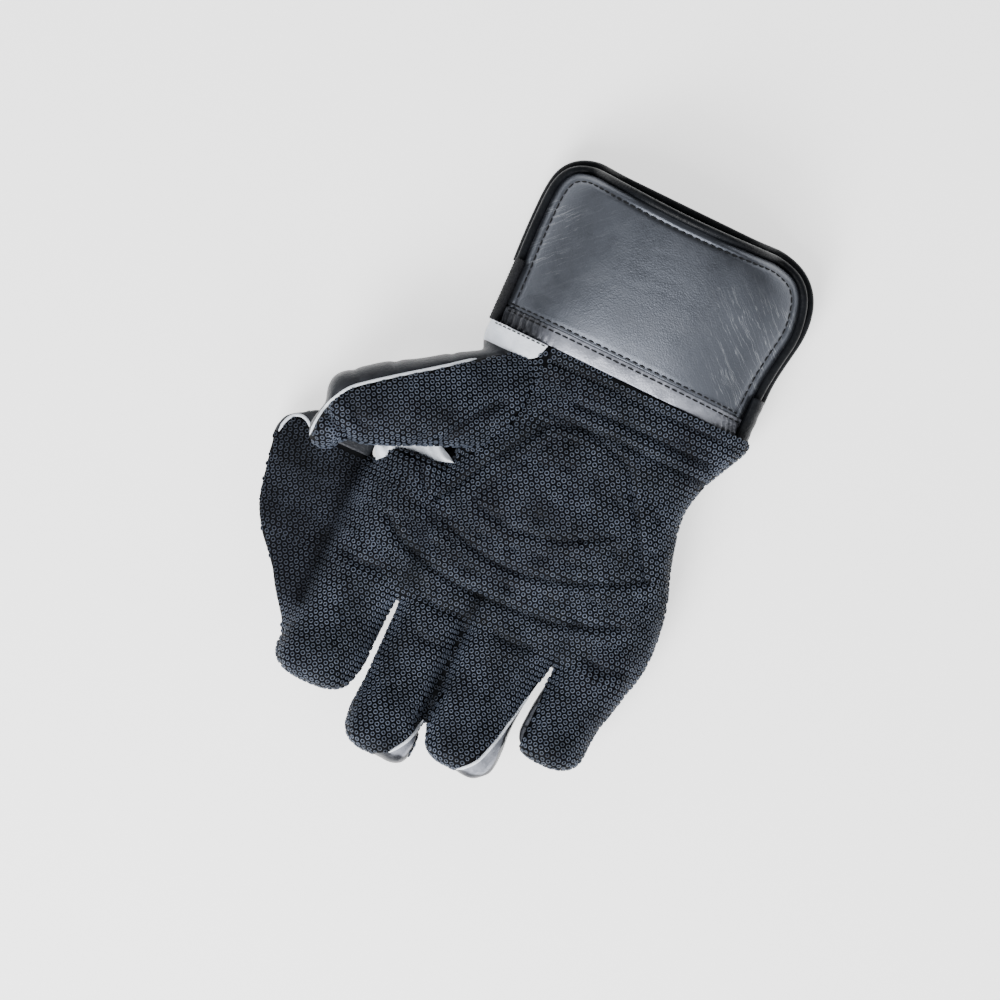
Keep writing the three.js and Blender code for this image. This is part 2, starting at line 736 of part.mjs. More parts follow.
const frontHigh = FRONT_PAD_ROWS.at(-1)[0];
put(
  "cuff_front_pad",
  panel(
    FRONT_PAD_ROWS,
    FRONT_DIP,
    (p) => frontHeight(p.u, p.share),
    (p) => frontHeight(p.u, p.share) - swell(p.u, p.share, frontLow, frontHigh),
  ),
  "silver",
);
put(
  "cuff_front_band",
  panel(
    BAND_ROWS,
    0,
    (p) => frontHeight(p.u, p.share) - GAP,
    (p) => frontHeight(p.u, p.share) - GAP - BAND_THICK,
  ),
  "paleSilver",
);
put(
  "cuff_back_pad",
  panel(
    BACK_PAD_ROWS,
    0,
    (p) => backHeight(p.u) + swell(p.u, p.share, -0.2, BACK_PAD_ROWS.at(-1)[0]),
    (p) => backHeight(p.u),
  ),
  "blackLeather",
);

// Piping: along both sides and the top edge of a panel, just outside it.
const LEFT_STRIP_TOP = 0.34; // end of the thumb side strip, share of CUFF_LENGTH
const RIGHT_STRIP_TOP = 0.22; // end of the little side strip
function rowAt(rows, share) {
  const i = rows.findIndex((row) => row[0] > share);
  const way = (share - rows[i - 1][0]) / (rows[i][0] - rows[i - 1][0]);
  return rows[i].map((value, k) => rows[i - 1][k] + (value - rows[i - 1][k]) * way);
}
function piping(rows, dip, heightOf) {
  const left = [];
  const right = [];
  const edge = (row, column) => {
    const p = panelPoint(row, column, PAD_COLUMNS, dip);
    return new THREE.Vector3(p.x, p.y, heightOf(p));
  };
  left.push(edge(rowAt(rows, LEFT_STRIP_TOP), 0));
  right.push(edge(rowAt(rows, RIGHT_STRIP_TOP), PAD_COLUMNS));
  for (const row of rows) {
    if (row[0] > LEFT_STRIP_TOP) left.push(edge(row, 0));
    if (row[0] > RIGHT_STRIP_TOP) right.push(edge(row, PAD_COLUMNS));
  }
  const top = [];
  for (let c = 1; c < PAD_COLUMNS; c++) top.push(edge(rows.at(-1), c));
  const path = [...left, ...top, ...right.reverse()];
  const away = PIPING_RADIUS + GAP * 1.5;
  const moved = path.map((p, i) => {
    const a = path[Math.max(i - 1, 0)];
    const b = path[Math.min(i + 1, path.length - 1)];
    const run = new THREE.Vector2(b.x - a.x, b.y - a.y).normalize();
    return new THREE.Vector3(p.x - run.y * away, p.y + run.x * away, p.z);
  });
  return tubeAlong(moved, PIPING_RADIUS, PIPING_STEPS, 6);
}
put(
  "cuff_front_piping",
  piping(FRONT_PAD_ROWS, FRONT_DIP, (p) => frontHeight(p.u, p.share) - PAD_EDGE / 2),
  "blackLeather",
);
put(
  "cuff_back_piping",
  piping(BACK_PAD_ROWS, 0, (p) => Math.max(backHeight(p.u) + PAD_EDGE / 2, PIPING_RADIUS * 1.3)),
  "blackLeather",
);

// Side strips: curved plates that close the cuff's lower sides.
function sideStrip(rowShares, edgeShare, way) {
  const middle = (FRONT_EDGE_HEIGHT + BACK_EDGE_HEIGHT) / 2;
  const half = FRONT_EDGE_HEIGHT - middle + PAD_EDGE;
  const outside = [];
  const inside = [];
  for (const share of rowShares) {
    const x = CUFF_WIDTH * edgeShare;
    const y = wristY + GAP + share * CUFF_LENGTH - SEAM_TILT * (x / across(1));
    const outRow = [];
    const inRow = [];
    for (let i = 0; i <= 6; i++) {
      const turn = ((i / 6) * 2 - 1) * 0.42 * Math.PI;
      const reach = STRIP_REACH * Math.cos(turn);
      const rise = half * Math.sin(turn);
      outRow.push(new THREE.Vector3(x + way * (GAP + reach), y, middle + rise));
      inRow.push(
        new THREE.Vector3(x + way * (GAP + Math.max(reach - STRIP_THICK, 0)), y, middle + rise * 0.86),
      );
    }
    outside.push(outRow);
    inside.push(inRow);
  }
  return plate(outside, inside);
}
put("thumb_side_strip", sideStrip([0, 0.15, LEFT_STRIP_TOP - 0.01], -0.329, -1), "blackLeather");
put("little_side_strip", sideStrip([0, 0.1, RIGHT_STRIP_TOP - 0.01], 0.604, 1), "blackLeather");

// The origin is the centre of the footprint.
const centre = new THREE.Box3().setFromObject(group).getCenter(new THREE.Vector3());
for (const mesh of group.children) {
  mesh.position.set(-centre.x, -centre.y, 0);
}

export default group;
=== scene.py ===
import math

import bpy
import numpy as np
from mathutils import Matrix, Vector, noise
from mathutils.bvhtree import BVHTree
from mathutils.kdtree import KDTree


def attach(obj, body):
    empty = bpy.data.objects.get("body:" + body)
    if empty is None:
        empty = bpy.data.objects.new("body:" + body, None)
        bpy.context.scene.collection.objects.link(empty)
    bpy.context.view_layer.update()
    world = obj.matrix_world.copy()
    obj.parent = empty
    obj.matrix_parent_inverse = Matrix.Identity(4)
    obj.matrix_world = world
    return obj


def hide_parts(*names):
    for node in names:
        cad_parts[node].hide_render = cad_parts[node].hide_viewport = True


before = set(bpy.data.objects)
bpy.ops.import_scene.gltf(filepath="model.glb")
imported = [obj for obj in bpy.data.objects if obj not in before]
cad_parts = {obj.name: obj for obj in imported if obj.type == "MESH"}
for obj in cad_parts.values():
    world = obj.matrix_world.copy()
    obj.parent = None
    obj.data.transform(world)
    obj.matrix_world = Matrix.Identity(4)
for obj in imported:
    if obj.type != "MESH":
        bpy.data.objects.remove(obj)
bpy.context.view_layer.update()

# Right-hand wicketkeeping glove, palm up. Tables and helpers are in the glove's own
# millimetres; putPiece moves everything to the row frame in metres.
mm = 0.001
glove = {
    "handLength": 200.0,
    "handWidth": 160.0,
    "handDepth": 44.0,
    "cuffLength": 84.0,
    "cuffWidth": 130.0,
    "shift": (13.716, -1.285, 0.0),
    "seed": 7,
}
shift = np.array(glove["shift"])
rng = np.random.default_rng(glove["seed"])


def along(share):
    return share * glove["handLength"]


def across(share):
    return share * glove["handWidth"]


def up(share):
    return share * glove["handDepth"]


def planLine(rows):
    return np.array([(across(a), along(b)) for a, b in rows])


# numbers and curves
def throughRows(rows, count):
    rows = np.asarray(rows, float)
    last = len(rows) - 1
    t = np.linspace(0, last, count)
    i = np.clip(t.astype(int), 0, last - 1)
    u = (t - i)[:, None]
    a, b = rows[np.maximum(i - 1, 0)], rows[i]
    c, d = rows[i + 1], rows[np.minimum(i + 2, last)]
    return 0.5 * (2 * b + (c - a) * u + (2 * a - 5 * b + 4 * c - d) * u**2 + (3 * b - a - 3 * c + d) * u**3)


def runLength(points):
    return np.r_[0, np.cumsum(np.linalg.norm(np.diff(points, axis=0), axis=1))]


def unitRun(path):
    run = np.gradient(path, axis=0)
    return run / np.linalg.norm(run, axis=1)[:, None]


def eased(path, rounds):
    # evens out a path between its two ends
    path = path.copy()
    for _ in range(rounds):
        path[1:-1] = (path[:-2] + 2 * path[1:-1] + path[2:]) / 4
    return path


def evenPath(points, step):
    points = np.asarray(points, float)
    run = runLength(points)
    count = max(int(round(run[-1] / step)), 2) + 1
    at = np.linspace(0, run[-1], count)
    return np.stack([np.interp(at, run, points[:, k]) for k in range(points.shape[1])], 1)


def smoothstep(value, low, high):
    t = np.clip((value - low) / (high - low), 0, 1)
    return t * t * (3 - 2 * t)


def lineDistance(xy, line):
    best = np.full(len(xy), 1e9)
    for a, b in zip(line[:-1], line[1:]):
        run = b - a
        t = np.clip(((xy - a) @ run) / (run @ run), 0, 1)
        off = xy - a - t[:, None] * run
        best = np.minimum(best, np.hypot(off[:, 0], off[:, 1]))
    return best


def insideField(xy, outline):
    # distance to the outline, positive inside it
    outline = np.asarray(outline, float)
    inside = np.zeros(len(xy), bool)
    for (x0, y0), (x1, y1) in zip(outline, np.roll(outline, -1, 0)):
        if y0 == y1:
            continue
        crosses = (y0 > xy[:, 1]) != (y1 > xy[:, 1])
        at = x0 + (xy[:, 1] - y0) * (x1 - x0) / (y1 - y0)
        inside ^= crosses & (xy[:, 0] < at)
    distance = lineDistance(xy, np.vstack([outline, outline[:1]]))
    return np.where(inside, distance, -distance)


def softNoise(points, size, seed):
    shiftBy = Vector((seed * 3.1, seed * 1.7, seed * 2.3))
    return np.array([noise.noise(Vector(p) / size + shiftBy) for p in points[:, :3]])


# meshes as arrays
def treeOf(points, faces):
    return BVHTree.FromPolygons(points[:, :3].tolist(), faces.tolist())


def vertexNormals(points, tris):
    a, b, c = (points[tris[:, k], :3] for k in range(3))
    face = np.cross(b - a, c - a)
    normals = np.zeros((len(points), 3))
    for k in range(3):
        for axis in range(3):
            normals[:, axis] += np.bincount(tris[:, k], face[:, axis], len(points))
    return normals / np.maximum(np.linalg.norm(normals, axis=1), 1e-12)[:, None]


def meshEdges(tris):
    edges = np.vstack([tris[:, [0, 1]], tris[:, [1, 2]], tris[:, [2, 0]]])
    edges.sort(axis=1)
    return np.unique(edges, axis=0, return_counts=True)


def relaxed(values, edges, rounds, weight=0.5):
    values = values.copy()
    count = np.bincount(edges.ravel(), minlength=len(values)).astype(float)
    count = np.maximum(count, 1)
    for _ in range(rounds):
        total = np.zeros_like(values)
        for axis in range(values.shape[1]):
            total[:, axis] = np.bincount(edges[:, 0], values[edges[:, 1], axis], len(values))
            total[:, axis] += np.bincount(edges[:, 1], values[edges[:, 0], axis], len(values))
        values += weight * (total / count[:, None] - values)
    return values


def tidyPoints(points, tris):
    used, tris = np.unique(tris, return_inverse=True)
    return points[used], tris.reshape(-1, 3)


def cutMesh(points, tris, value):
    # splits the triangles where value passes zero; every column of points is carried along
    value = np.where(np.abs(value) < 1e-5, 1e-5, value)
    side = value[tris] > 0
    count = side.sum(1)
    mixed = tris[(count == 1) | (count == 2)]
    mixedSide = side[(count == 1) | (count == 2)]
    loneUp = mixedSide.sum(1) == 1
    first = (mixedSide == loneUp[:, None]).argmax(1)
    rolled = np.take_along_axis(mixed, (first[:, None] + np.arange(3)) % 3, 1)
    a, b, c = rolled.T
    n = len(points)
    keys = np.concatenate([np.minimum(a, b) * n + np.maximum(a, b), np.minimum(a, c) * n + np.maximum(a, c)])
    unique, where = np.unique(keys, return_inverse=True)
    low, high = unique // n, unique % n
    t = (value[low] / (value[low] - value[high]))[:, None]
    allPoints = np.vstack([points, points[low] + (points[high] - points[low]) * t])
    ab, ac = n + where[: len(a)], n + where[len(a):]
    lone = np.stack([a, ab, ac], 1)
    rest = np.vstack([np.stack([ab, b, c], 1), np.stack([ab, c, ac], 1)])
    restDown = np.concatenate([loneUp, loneUp])
    upTris = np.vstack([tris[count == 3], lone[loneUp], rest[~restDown]])
    downTris = np.vstack([tris[count == 0], lone[~loneUp], rest[restDown]])
    return tidyPoints(allPoints, upTris), tidyPoints(allPoints, downTris)


def thickened(points, tris, inward, depth):
    # closed wall: outer skin, inner skin and the rim between them
    edges = np.vstack([tris[:, [0, 1]], tris[:, [1, 2]], tris[:, [2, 0]]])
    ordered = np.sort(edges, axis=1)
    _, first, counts = np.unique(ordered, axis=0, return_index=True, return_counts=True)
    rim = edges[first[counts == 1]]
    n = len(points)
    inner = points + inward * depth
    inner[:, 2] = np.maximum(inner[:, 2], np.minimum(points[:, 2], 0.0) + 0.8)
    sides = np.vstack([
        np.stack([rim[:, 1], rim[:, 0], rim[:, 0] + n], 1),
        np.stack([rim[:, 1], rim[:, 0] + n, rim[:, 1] + n], 1),
    ])
    return np.vstack([points, inner]), np.vstack([tris, tris[:, ::-1] + n, sides])


def gridFaces(rows, columns, base=0, flip=False, loop=False):
    r, c = np.meshgrid(np.arange(rows - 1), np.arange(columns if loop else columns - 1), indexing="ij")
    a = base + r * columns + c
    b = base + r * columns + (c + 1) % columns
    quads = np.stack([a, b, b + columns, a + columns], -1).reshape(-1, 4)
    return quads[:, ::-1] if flip else quads


def slab(upper, lower):
    # closed plate between two grids of the same size
    rows, columns = upper.shape[:2]
    points = np.vstack([upper.reshape(-1, 3), lower.reshape(-1, 3)])
    base = rows * columns
    faces = [gridFaces(rows, columns), gridFaces(rows, columns, base, flip=True)]
    at = np.arange(base).reshape(rows, columns)
    rim = np.concatenate([at[0, :-1], at[:-1, -1], at[-1, :0:-1], at[:0:-1, 0]])
    after = np.roll(rim, -1)
    faces.append(np.stack([after, rim, rim + base, after + base], 1))
    return points, np.vstack(faces)


def closedLoops(rows, columns):
    # faces of a stack of loops, with one more over each end
    faces = gridFaces(rows, columns, loop=True).tolist()
    faces.append(list(range(columns))[::-1])
    faces.append([(rows - 1) * columns + k for k in range(columns)])
    return faces


def tube(path, radius, sides):
    # round rod along a path; radius may change along it
    radius = np.broadcast_to(radius, len(path))
    run = unitRun(path)
    side = np.cross(run, np.tile([0.0, 0.0, 1.0], (len(path), 1)))
    side /= np.maximum(np.linalg.norm(side, axis=1), 1e-9)[:, None]
    lift = np.cross(side, run)
    turn = 2 * np.pi * np.arange(sides) / sides
    ring = side[:, None] * np.cos(turn)[None, :, None] + lift[:, None] * np.sin(turn)[None, :, None]
    points = (path[:, None] + ring * radius[:, None, None]).reshape(-1, 3)
    return points, closedLoops(len(path), sides)


def joinParts(parts):
    points, faces, base = [], [], 0
    for p, f in parts:
        points.append(p)
        faces.extend([[base + i for i in face] for face in f])
        base += len(p)
    return np.vstack(points), faces


def newObject(name, points, faces, smooth=True):
    mesh = bpy.data.meshes.new(name)
    scaled = (points[:, :3] + shift) * mm
    faces = faces.tolist() if isinstance(faces, np.ndarray) else faces
    mesh.from_pydata(scaled.tolist(), [], faces)
    mesh.validate()
    if smooth:
        mesh.polygons.foreach_set("use_smooth", [True] * len(mesh.polygons))
    obj = bpy.data.objects.new(name, mesh)
    bpy.context.scene.collection.objects.link(obj)
    return obj


def putPiece(name, points, faces, slotName, nodes=(), tone=None, look=None):
    obj = newObject(name, points, faces)
    obj.data.materials.append(materials[look or slotName])
    if tone is not None and len(tone) == len(obj.data.vertices):
        layer = obj.data.attributes.new("tone", "FLOAT", "POINT")
        layer.data.foreach_set("value", np.asarray(tone, np.float32))
    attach(obj, "root")
    if nodes:
        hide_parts(*nodes)
    count = sum(len(p.vertices) - 2 for p in obj.data.polygons)
    print(f"  {name}: {count} triangles")
    return obj


def evaluated(obj):
    graph = bpy.context.evaluated_depsgraph_get()
    made = obj.evaluated_get(graph).to_mesh()
    made.calc_loop_triangles()
    points = np.empty(len(made.vertices) * 3)
    made.vertices.foreach_get("co", points)
    tris = np.empty(len(made.loop_triangles) * 3, np.int64)
    made.loop_triangles.foreach_get("vertices", tris)
    obj.evaluated_get(graph).to_mesh_clear()
    return points.reshape(-1, 3) / mm - shift, tris.reshape(-1, 3)


# materials
def startMaterial(name):
    material = bpy.data.materials.new(name)
    material.use_nodes = True
    nodes = material.node_tree.nodes
    shader = nodes["Principled BSDF"]
    return material, nodes, material.node_tree.links, shader


def addNode(nodes, kind, settings=None, **inputs):
    node = nodes.new(kind)
    for key, value in (settings or {}).items():
        setattr(node, key, value)
    for key, value in inputs.items():
        node.inputs[key.replace("_", " ")].default_value = value
    return node


def rampNode(nodes, stops):
    ramp = nodes.new("ShaderNodeValToRGB")
    elements = ramp.color_ramp.elements
    while len(elements) < len(stops):
        elements.new(0.5)
    for element, (at, colour) in zip(elements, stops):
        element.position = at
        element.color = (*colour, 1) if len(colour) == 3 else (colour[0],) * 3 + (1,)
    return ramp


def hairCreases(nodes, links, coords, patches, tone, hairs):
    # thin light lines that run slanting to both sides of the middle, only where tone is above 0
    split = nodes.new("ShaderNodeSeparateXYZ")
    links.new(coords.outputs["Object"], split.inputs[0])
    centred = addNode(nodes, "ShaderNodeMath", {"operation": "SUBTRACT"})
    links.new(split.outputs["X"], centred.inputs[0])
    centred.inputs[1].default_value = hairs["middle"]
    folded = addNode(nodes, "ShaderNodeMath", {"operation": "ABSOLUTE"})
    links.new(centred.outputs[0], folded.inputs[0])
    joined = nodes.new("ShaderNodeCombineXYZ")
    links.new(folded.outputs[0], joined.inputs["X"])
    links.new(split.outputs["Y"], joined.inputs["Y"])
    warp = addNode(nodes, "ShaderNodeMixRGB", {"blend_type": "LINEAR_LIGHT"}, Fac=hairs["warp"])
    links.new(joined.outputs[0], warp.inputs[1])
    links.new(patches.outputs["Color"], warp.inputs[2])
    turned = addNode(nodes, "ShaderNodeVectorRotate", {"rotation_type": "Z_AXIS"}, Angle=hairs["angle"])
    links.new(warp.outputs[0], turned.inputs["Vector"])
    stretched = addNode(nodes, "ShaderNodeVectorMath", {"operation": "MULTIPLY"})
    links.new(turned.outputs[0], stretched.inputs[0])
    stretched.inputs[1].default_value = hairs["stretch"]
    lines = addNode(nodes, "ShaderNodeTexNoise", Scale=1.0, Detail=3.0, Roughness=0.55)
    links.new(stretched.outputs[0], lines.inputs["Vector"])
    thin = rampNode(nodes, [(0.492, (0.0,)), (0.505, (1.0,)), (0.518, (0.0,))])
    links.new(lines.outputs["Fac"], thin.inputs["Fac"])
    masked = addNode(nodes, "ShaderNodeMath", {"operation": "MULTIPLY"})
    links.new(thin.outputs["Color"], masked.inputs[0])
    links.new(tone.outputs["Fac"], masked.inputs[1])
    return masked.outputs[0]


def makeLeather(name, look):
    # grained leather: cells for the grain, long soft noise for wear, fine cracks along creases
    material, nodes, links, shader = startMaterial(name)
    coords = nodes.new("ShaderNodeTexCoord")
    wear = addNode(nodes, "ShaderNodeTexNoise", Scale=look["wearScale"], Detail=6.0, Roughness=0.6)
    patches = addNode(nodes, "ShaderNodeTexNoise", Scale=look["wearScale"] * 5, Detail=8.0, Roughness=0.7)
    grain = addNode(nodes, "ShaderNodeTexVoronoi", {"feature": "SMOOTH_F1"}, Scale=look["grainScale"])
    fine = addNode(nodes, "ShaderNodeTexNoise", Scale=look["grainScale"] * 2.5, Detail=4.0)
    crackWarp = addNode(nodes, "ShaderNodeTexNoise", Scale=look["wearScale"] * 3, Detail=4.0)
    crackMix = addNode(nodes, "ShaderNodeMixRGB", {"blend_type": "LINEAR_LIGHT"}, Fac=0.04)
    cracks = addNode(nodes, "ShaderNodeTexVoronoi", {"feature": "DISTANCE_TO_EDGE"}, Scale=look["crackScale"])
    for node in (wear, patches, grain, fine, crackWarp):
        links.new(coords.outputs["Object"], node.inputs["Vector"])
    links.new(coords.outputs["Object"], crackMix.inputs[1])
    links.new(crackWarp.outputs["Color"], crackMix.inputs[2])
    links.new(crackMix.outputs[0], cracks.inputs["Vector"])
    colour = rampNode(nodes, [(0.3, look["dark"]), (0.52, look["colour"]), (0.74, look["light"])])
    blendWear = addNode(nodes, "ShaderNodeMath", {"operation": "MULTIPLY_ADD"})
    links.new(patches.outputs["Fac"], blendWear.inputs[0])
    blendWear.inputs[1].default_value = 0.5
    half = addNode(nodes, "ShaderNodeMath", {"operation": "MULTIPLY"})
    links.new(wear.outputs["Fac"], half.inputs[0])
    half.inputs[1].default_value = 0.5
    links.new(half.outputs[0], blendWear.inputs[2])
    links.new(blendWear.outputs[0], colour.inputs["Fac"])
    tone = addNode(nodes, "ShaderNodeAttribute", {"attribute_name": "tone"})
    lighter = addNode(nodes, "ShaderNodeMixRGB", {"blend_type": "MIX"})
    lighter.inputs[2].default_value = (*look["crease"], 1)
    amount = tone.outputs["Fac"]
    if "hairs" in look:
        amount = hairCreases(nodes, links, coords, patches, tone, look["hairs"])
    links.new(amount, lighter.inputs[0])
    links.new(colour.outputs["Color"], lighter.inputs[1])
    links.new(lighter.outputs[0], shader.inputs["Base Color"])
    rough = rampNode(nodes, [(0.3, (look["rough"] - 0.09,)), (0.7, (look["rough"] + 0.09,))])
    links.new(patches.outputs["Fac"], rough.inputs["Fac"])
    links.new(rough.outputs["Color"], shader.inputs["Roughness"])
    crackRamp = rampNode(nodes, [(0.0, (0.0,)), (0.06, (1.0,))])
    links.new(cracks.outputs["Distance"], crackRamp.inputs["Fac"])
    bumpA = addNode(nodes, "ShaderNodeBump", Strength=look["grainBump"], Distance=0.0004)
    bumpB = addNode(nodes, "ShaderNodeBump", Strength=look["grainBump"] * 0.5, Distance=0.0002)
    bumpC = addNode(nodes, "ShaderNodeBump", Strength=look["crackBump"], Distance=0.0003)
    links.new(grain.outputs["Distance"], bumpA.inputs["Height"])
    links.new(fine.outputs["Fac"], bumpB.inputs["Height"])
    links.new(crackRamp.outputs["Color"], bumpC.inputs["Height"])
    links.new(bumpA.outputs["Normal"], bumpB.inputs["Normal"])
    links.new(bumpB.outputs["Normal"], bumpC.inputs["Normal"])
    links.new(bumpC.outputs["Normal"], shader.inputs["Normal"])
    shader.inputs["Metallic"].default_value = look["metal"]
    shader.inputs["Specular IOR Level"].default_value = look["shine"]
    shader.inputs["Coat Weight"].default_value = look["coat"]
    shader.inputs["Coat Roughness"].default_value = 0.3
    return material


def makeRubber(name, look):
    # tone 1 is the worn crown of a ring, tone 0 the sheet between the rings; crown tones lowered in the folds and the
    # webbing are painted shade
    material, nodes, links, shader = startMaterial(name)
    coords = nodes.new("ShaderNodeTexCoord")
    dust = addNode(nodes, "ShaderNodeTexNoise", Scale=look["dustScale"], Detail=5.0, Roughness=0.6)
    grit = addNode(nodes, "ShaderNodeTexNoise", Scale=look["gritScale"], Detail=6.0, Roughness=0.7)
    for node in (dust, grit):
        links.new(coords.outputs["Object"], node.inputs["Vector"])
    sheet = rampNode(nodes, [(0.35, look["deep"]), (0.65, look["sheet"])])
    links.new(dust.outputs["Fac"], sheet.inputs["Fac"])
    crown = rampNode(nodes, [(0.35, look["crown"]), (0.7, look["worn"])])
    links.new(dust.outputs["Fac"], crown.inputs["Fac"])
    tone = addNode(nodes, "ShaderNodeAttribute", {"attribute_name": "tone"})
    mix = addNode(nodes, "ShaderNodeMixRGB", {"blend_type": "MIX"})
    links.new(tone.outputs["Fac"], mix.inputs[0])
    links.new(sheet.outputs["Color"], mix.inputs[1])
    links.new(crown.outputs["Color"], mix.inputs[2])
    links.new(mix.outputs[0], shader.inputs["Base Color"])
    rough = rampNode(nodes, [(0.3, (look["rough"] - 0.08,)), (0.7, (look["rough"] + 0.1,))])
    links.new(grit.outputs["Fac"], rough.inputs["Fac"])
    polish = addNode(nodes, "ShaderNodeMixRGB", {"blend_type": "MIX"})
    polish.inputs[1].default_value = (look["sheetRough"],) * 3 + (1,)
    links.new(tone.outputs["Fac"], polish.inputs[0])
    links.new(rough.outputs["Color"], polish.inputs[2])
    links.new(polish.outputs[0], shader.inputs["Roughness"])
    gloss = addNode(nodes, "ShaderNodeMath", {"operation": "MULTIPLY_ADD"})
    links.new(tone.outputs["Fac"], gloss.inputs[0])
    gloss.inputs[1].default_value = look["shine"]
    gloss.inputs[2].default_value = look["sheetShine"]
    links.new(gloss.outputs[0], shader.inputs["Specular IOR Level"])
    bump = addNode(nodes, "ShaderNodeBump", Strength=look["bump"], Distance=0.0002)
    links.new(grit.outputs["Fac"], bump.inputs["Height"])
    links.new(bump.outputs["Normal"], shader.inputs["Normal"])
    return material


rubberLook = {
    "deep": (0.0008, 0.001, 0.0016), "sheet": (0.002, 0.0024, 0.0036), "crown": (0.034, 0.043, 0.062),
    "worn": (0.086, 0.105, 0.148), "rough": 0.36, "shine": 0.3, "sheetRough": 0.62, "sheetShine": 0.07,
    "bump": 0.4, "dustScale": 60.0, "gritScale": 2200.0,
}
leatherLooks = {
    "silver_leather": {
        "dark": (0.07, 0.077, 0.093), "colour": (0.083, 0.091, 0.109), "light": (0.1, 0.108, 0.127),
        "crease": (0.34, 0.36, 0.39), "rough": 0.47, "metal": 0.85, "shine": 0.35, "coat": 0.0,
        "wearScale": 18.0, "grainScale": 1500.0, "crackScale": 300.0, "grainBump": 0.22, "crackBump": 0.05,
        "hairs": {"middle": 0.031, "angle": 0.75, "warp": 0.0016, "stretch": (20.0, 460.0, 1.0)},
    },
    "pale_silver_leather": {
        "dark": (0.18, 0.19, 0.225), "colour": (0.28, 0.295, 0.345), "light": (0.42, 0.435, 0.5),
        "crease": (0.02, 0.022, 0.028), "rough": 0.4, "metal": 0.5, "shine": 0.5, "coat": 0.15,
        "wearScale": 40.0, "grainScale": 1100.0, "crackScale": 220.0, "grainBump": 0.3, "crackBump": 0.15,
    },
    "grey_leather": {
        "dark": (0.014, 0.0155, 0.019), "colour": (0.021, 0.023, 0.028), "light": (0.036, 0.039, 0.046),
        "crease": (0.08, 0.085, 0.1), "rough": 0.44, "metal": 0.2, "shine": 0.3, "coat": 0.0,
        "wearScale": 30.0, "grainScale": 1000.0, "crackScale": 160.0, "grainBump": 0.35, "crackBump": 0.2,
    },
    "black_leather": {
        "dark": (0.003, 0.0034, 0.0045), "colour": (0.006, 0.007, 0.009), "light": (0.013, 0.0145, 0.018),
        "crease": (0.03, 0.034, 0.04), "rough": 0.38, "metal": 0.0, "shine": 0.12, "coat": 0.0,
        "wearScale": 40.0, "grainScale": 1000.0, "crackScale": 200.0, "grainBump": 0.35, "crackBump": 0.15,
    },
    "white_leather": {
        "dark": (0.66, 0.71, 0.8), "colour": (0.8, 0.85, 0.93), "light": (0.9, 0.94, 0.99),
        "crease": (0.35, 0.38, 0.44), "rough": 0.5, "metal": 0.0, "shine": 0.5, "coat": 0.0,
        "wearScale": 45.0, "grainScale": 900.0, "crackScale": 150.0, "grainBump": 0.35, "crackBump": 0.25,
    },
    "elastic": {
        "dark": (0.003, 0.0034, 0.0045), "colour": (0.0055, 0.006, 0.008), "light": (0.012, 0.013, 0.017),
        "crease": (0.03, 0.033, 0.04), "rough": 0.72, "metal": 0.0, "shine": 0.2, "coat": 0.0,
        "wearScale": 90.0, "grainScale": 2600.0, "crackScale": 900.0, "grainBump": 0.9, "crackBump": 0.4,
    },
    "thread": {
        "dark": (0.003, 0.0034, 0.0042), "colour": (0.006, 0.0065, 0.008), "light": (0.014, 0.015, 0.018),
        "crease": (0.03, 0.03, 0.04), "rough": 0.6, "metal": 0.0, "shine": 0.25, "coat": 0.0,
        "wearScale": 200.0, "grainScale": 4200.0, "crackScale": 2500.0, "grainBump": 0.8, "crackBump": 0.3,
    },
}
materials = {name: makeLeather(name, look) for name, look in leatherLooks.items()}
materials["pimpled_rubber"] = makeRubber("pimpled_rubber", rubberLook)
print("materials ready")

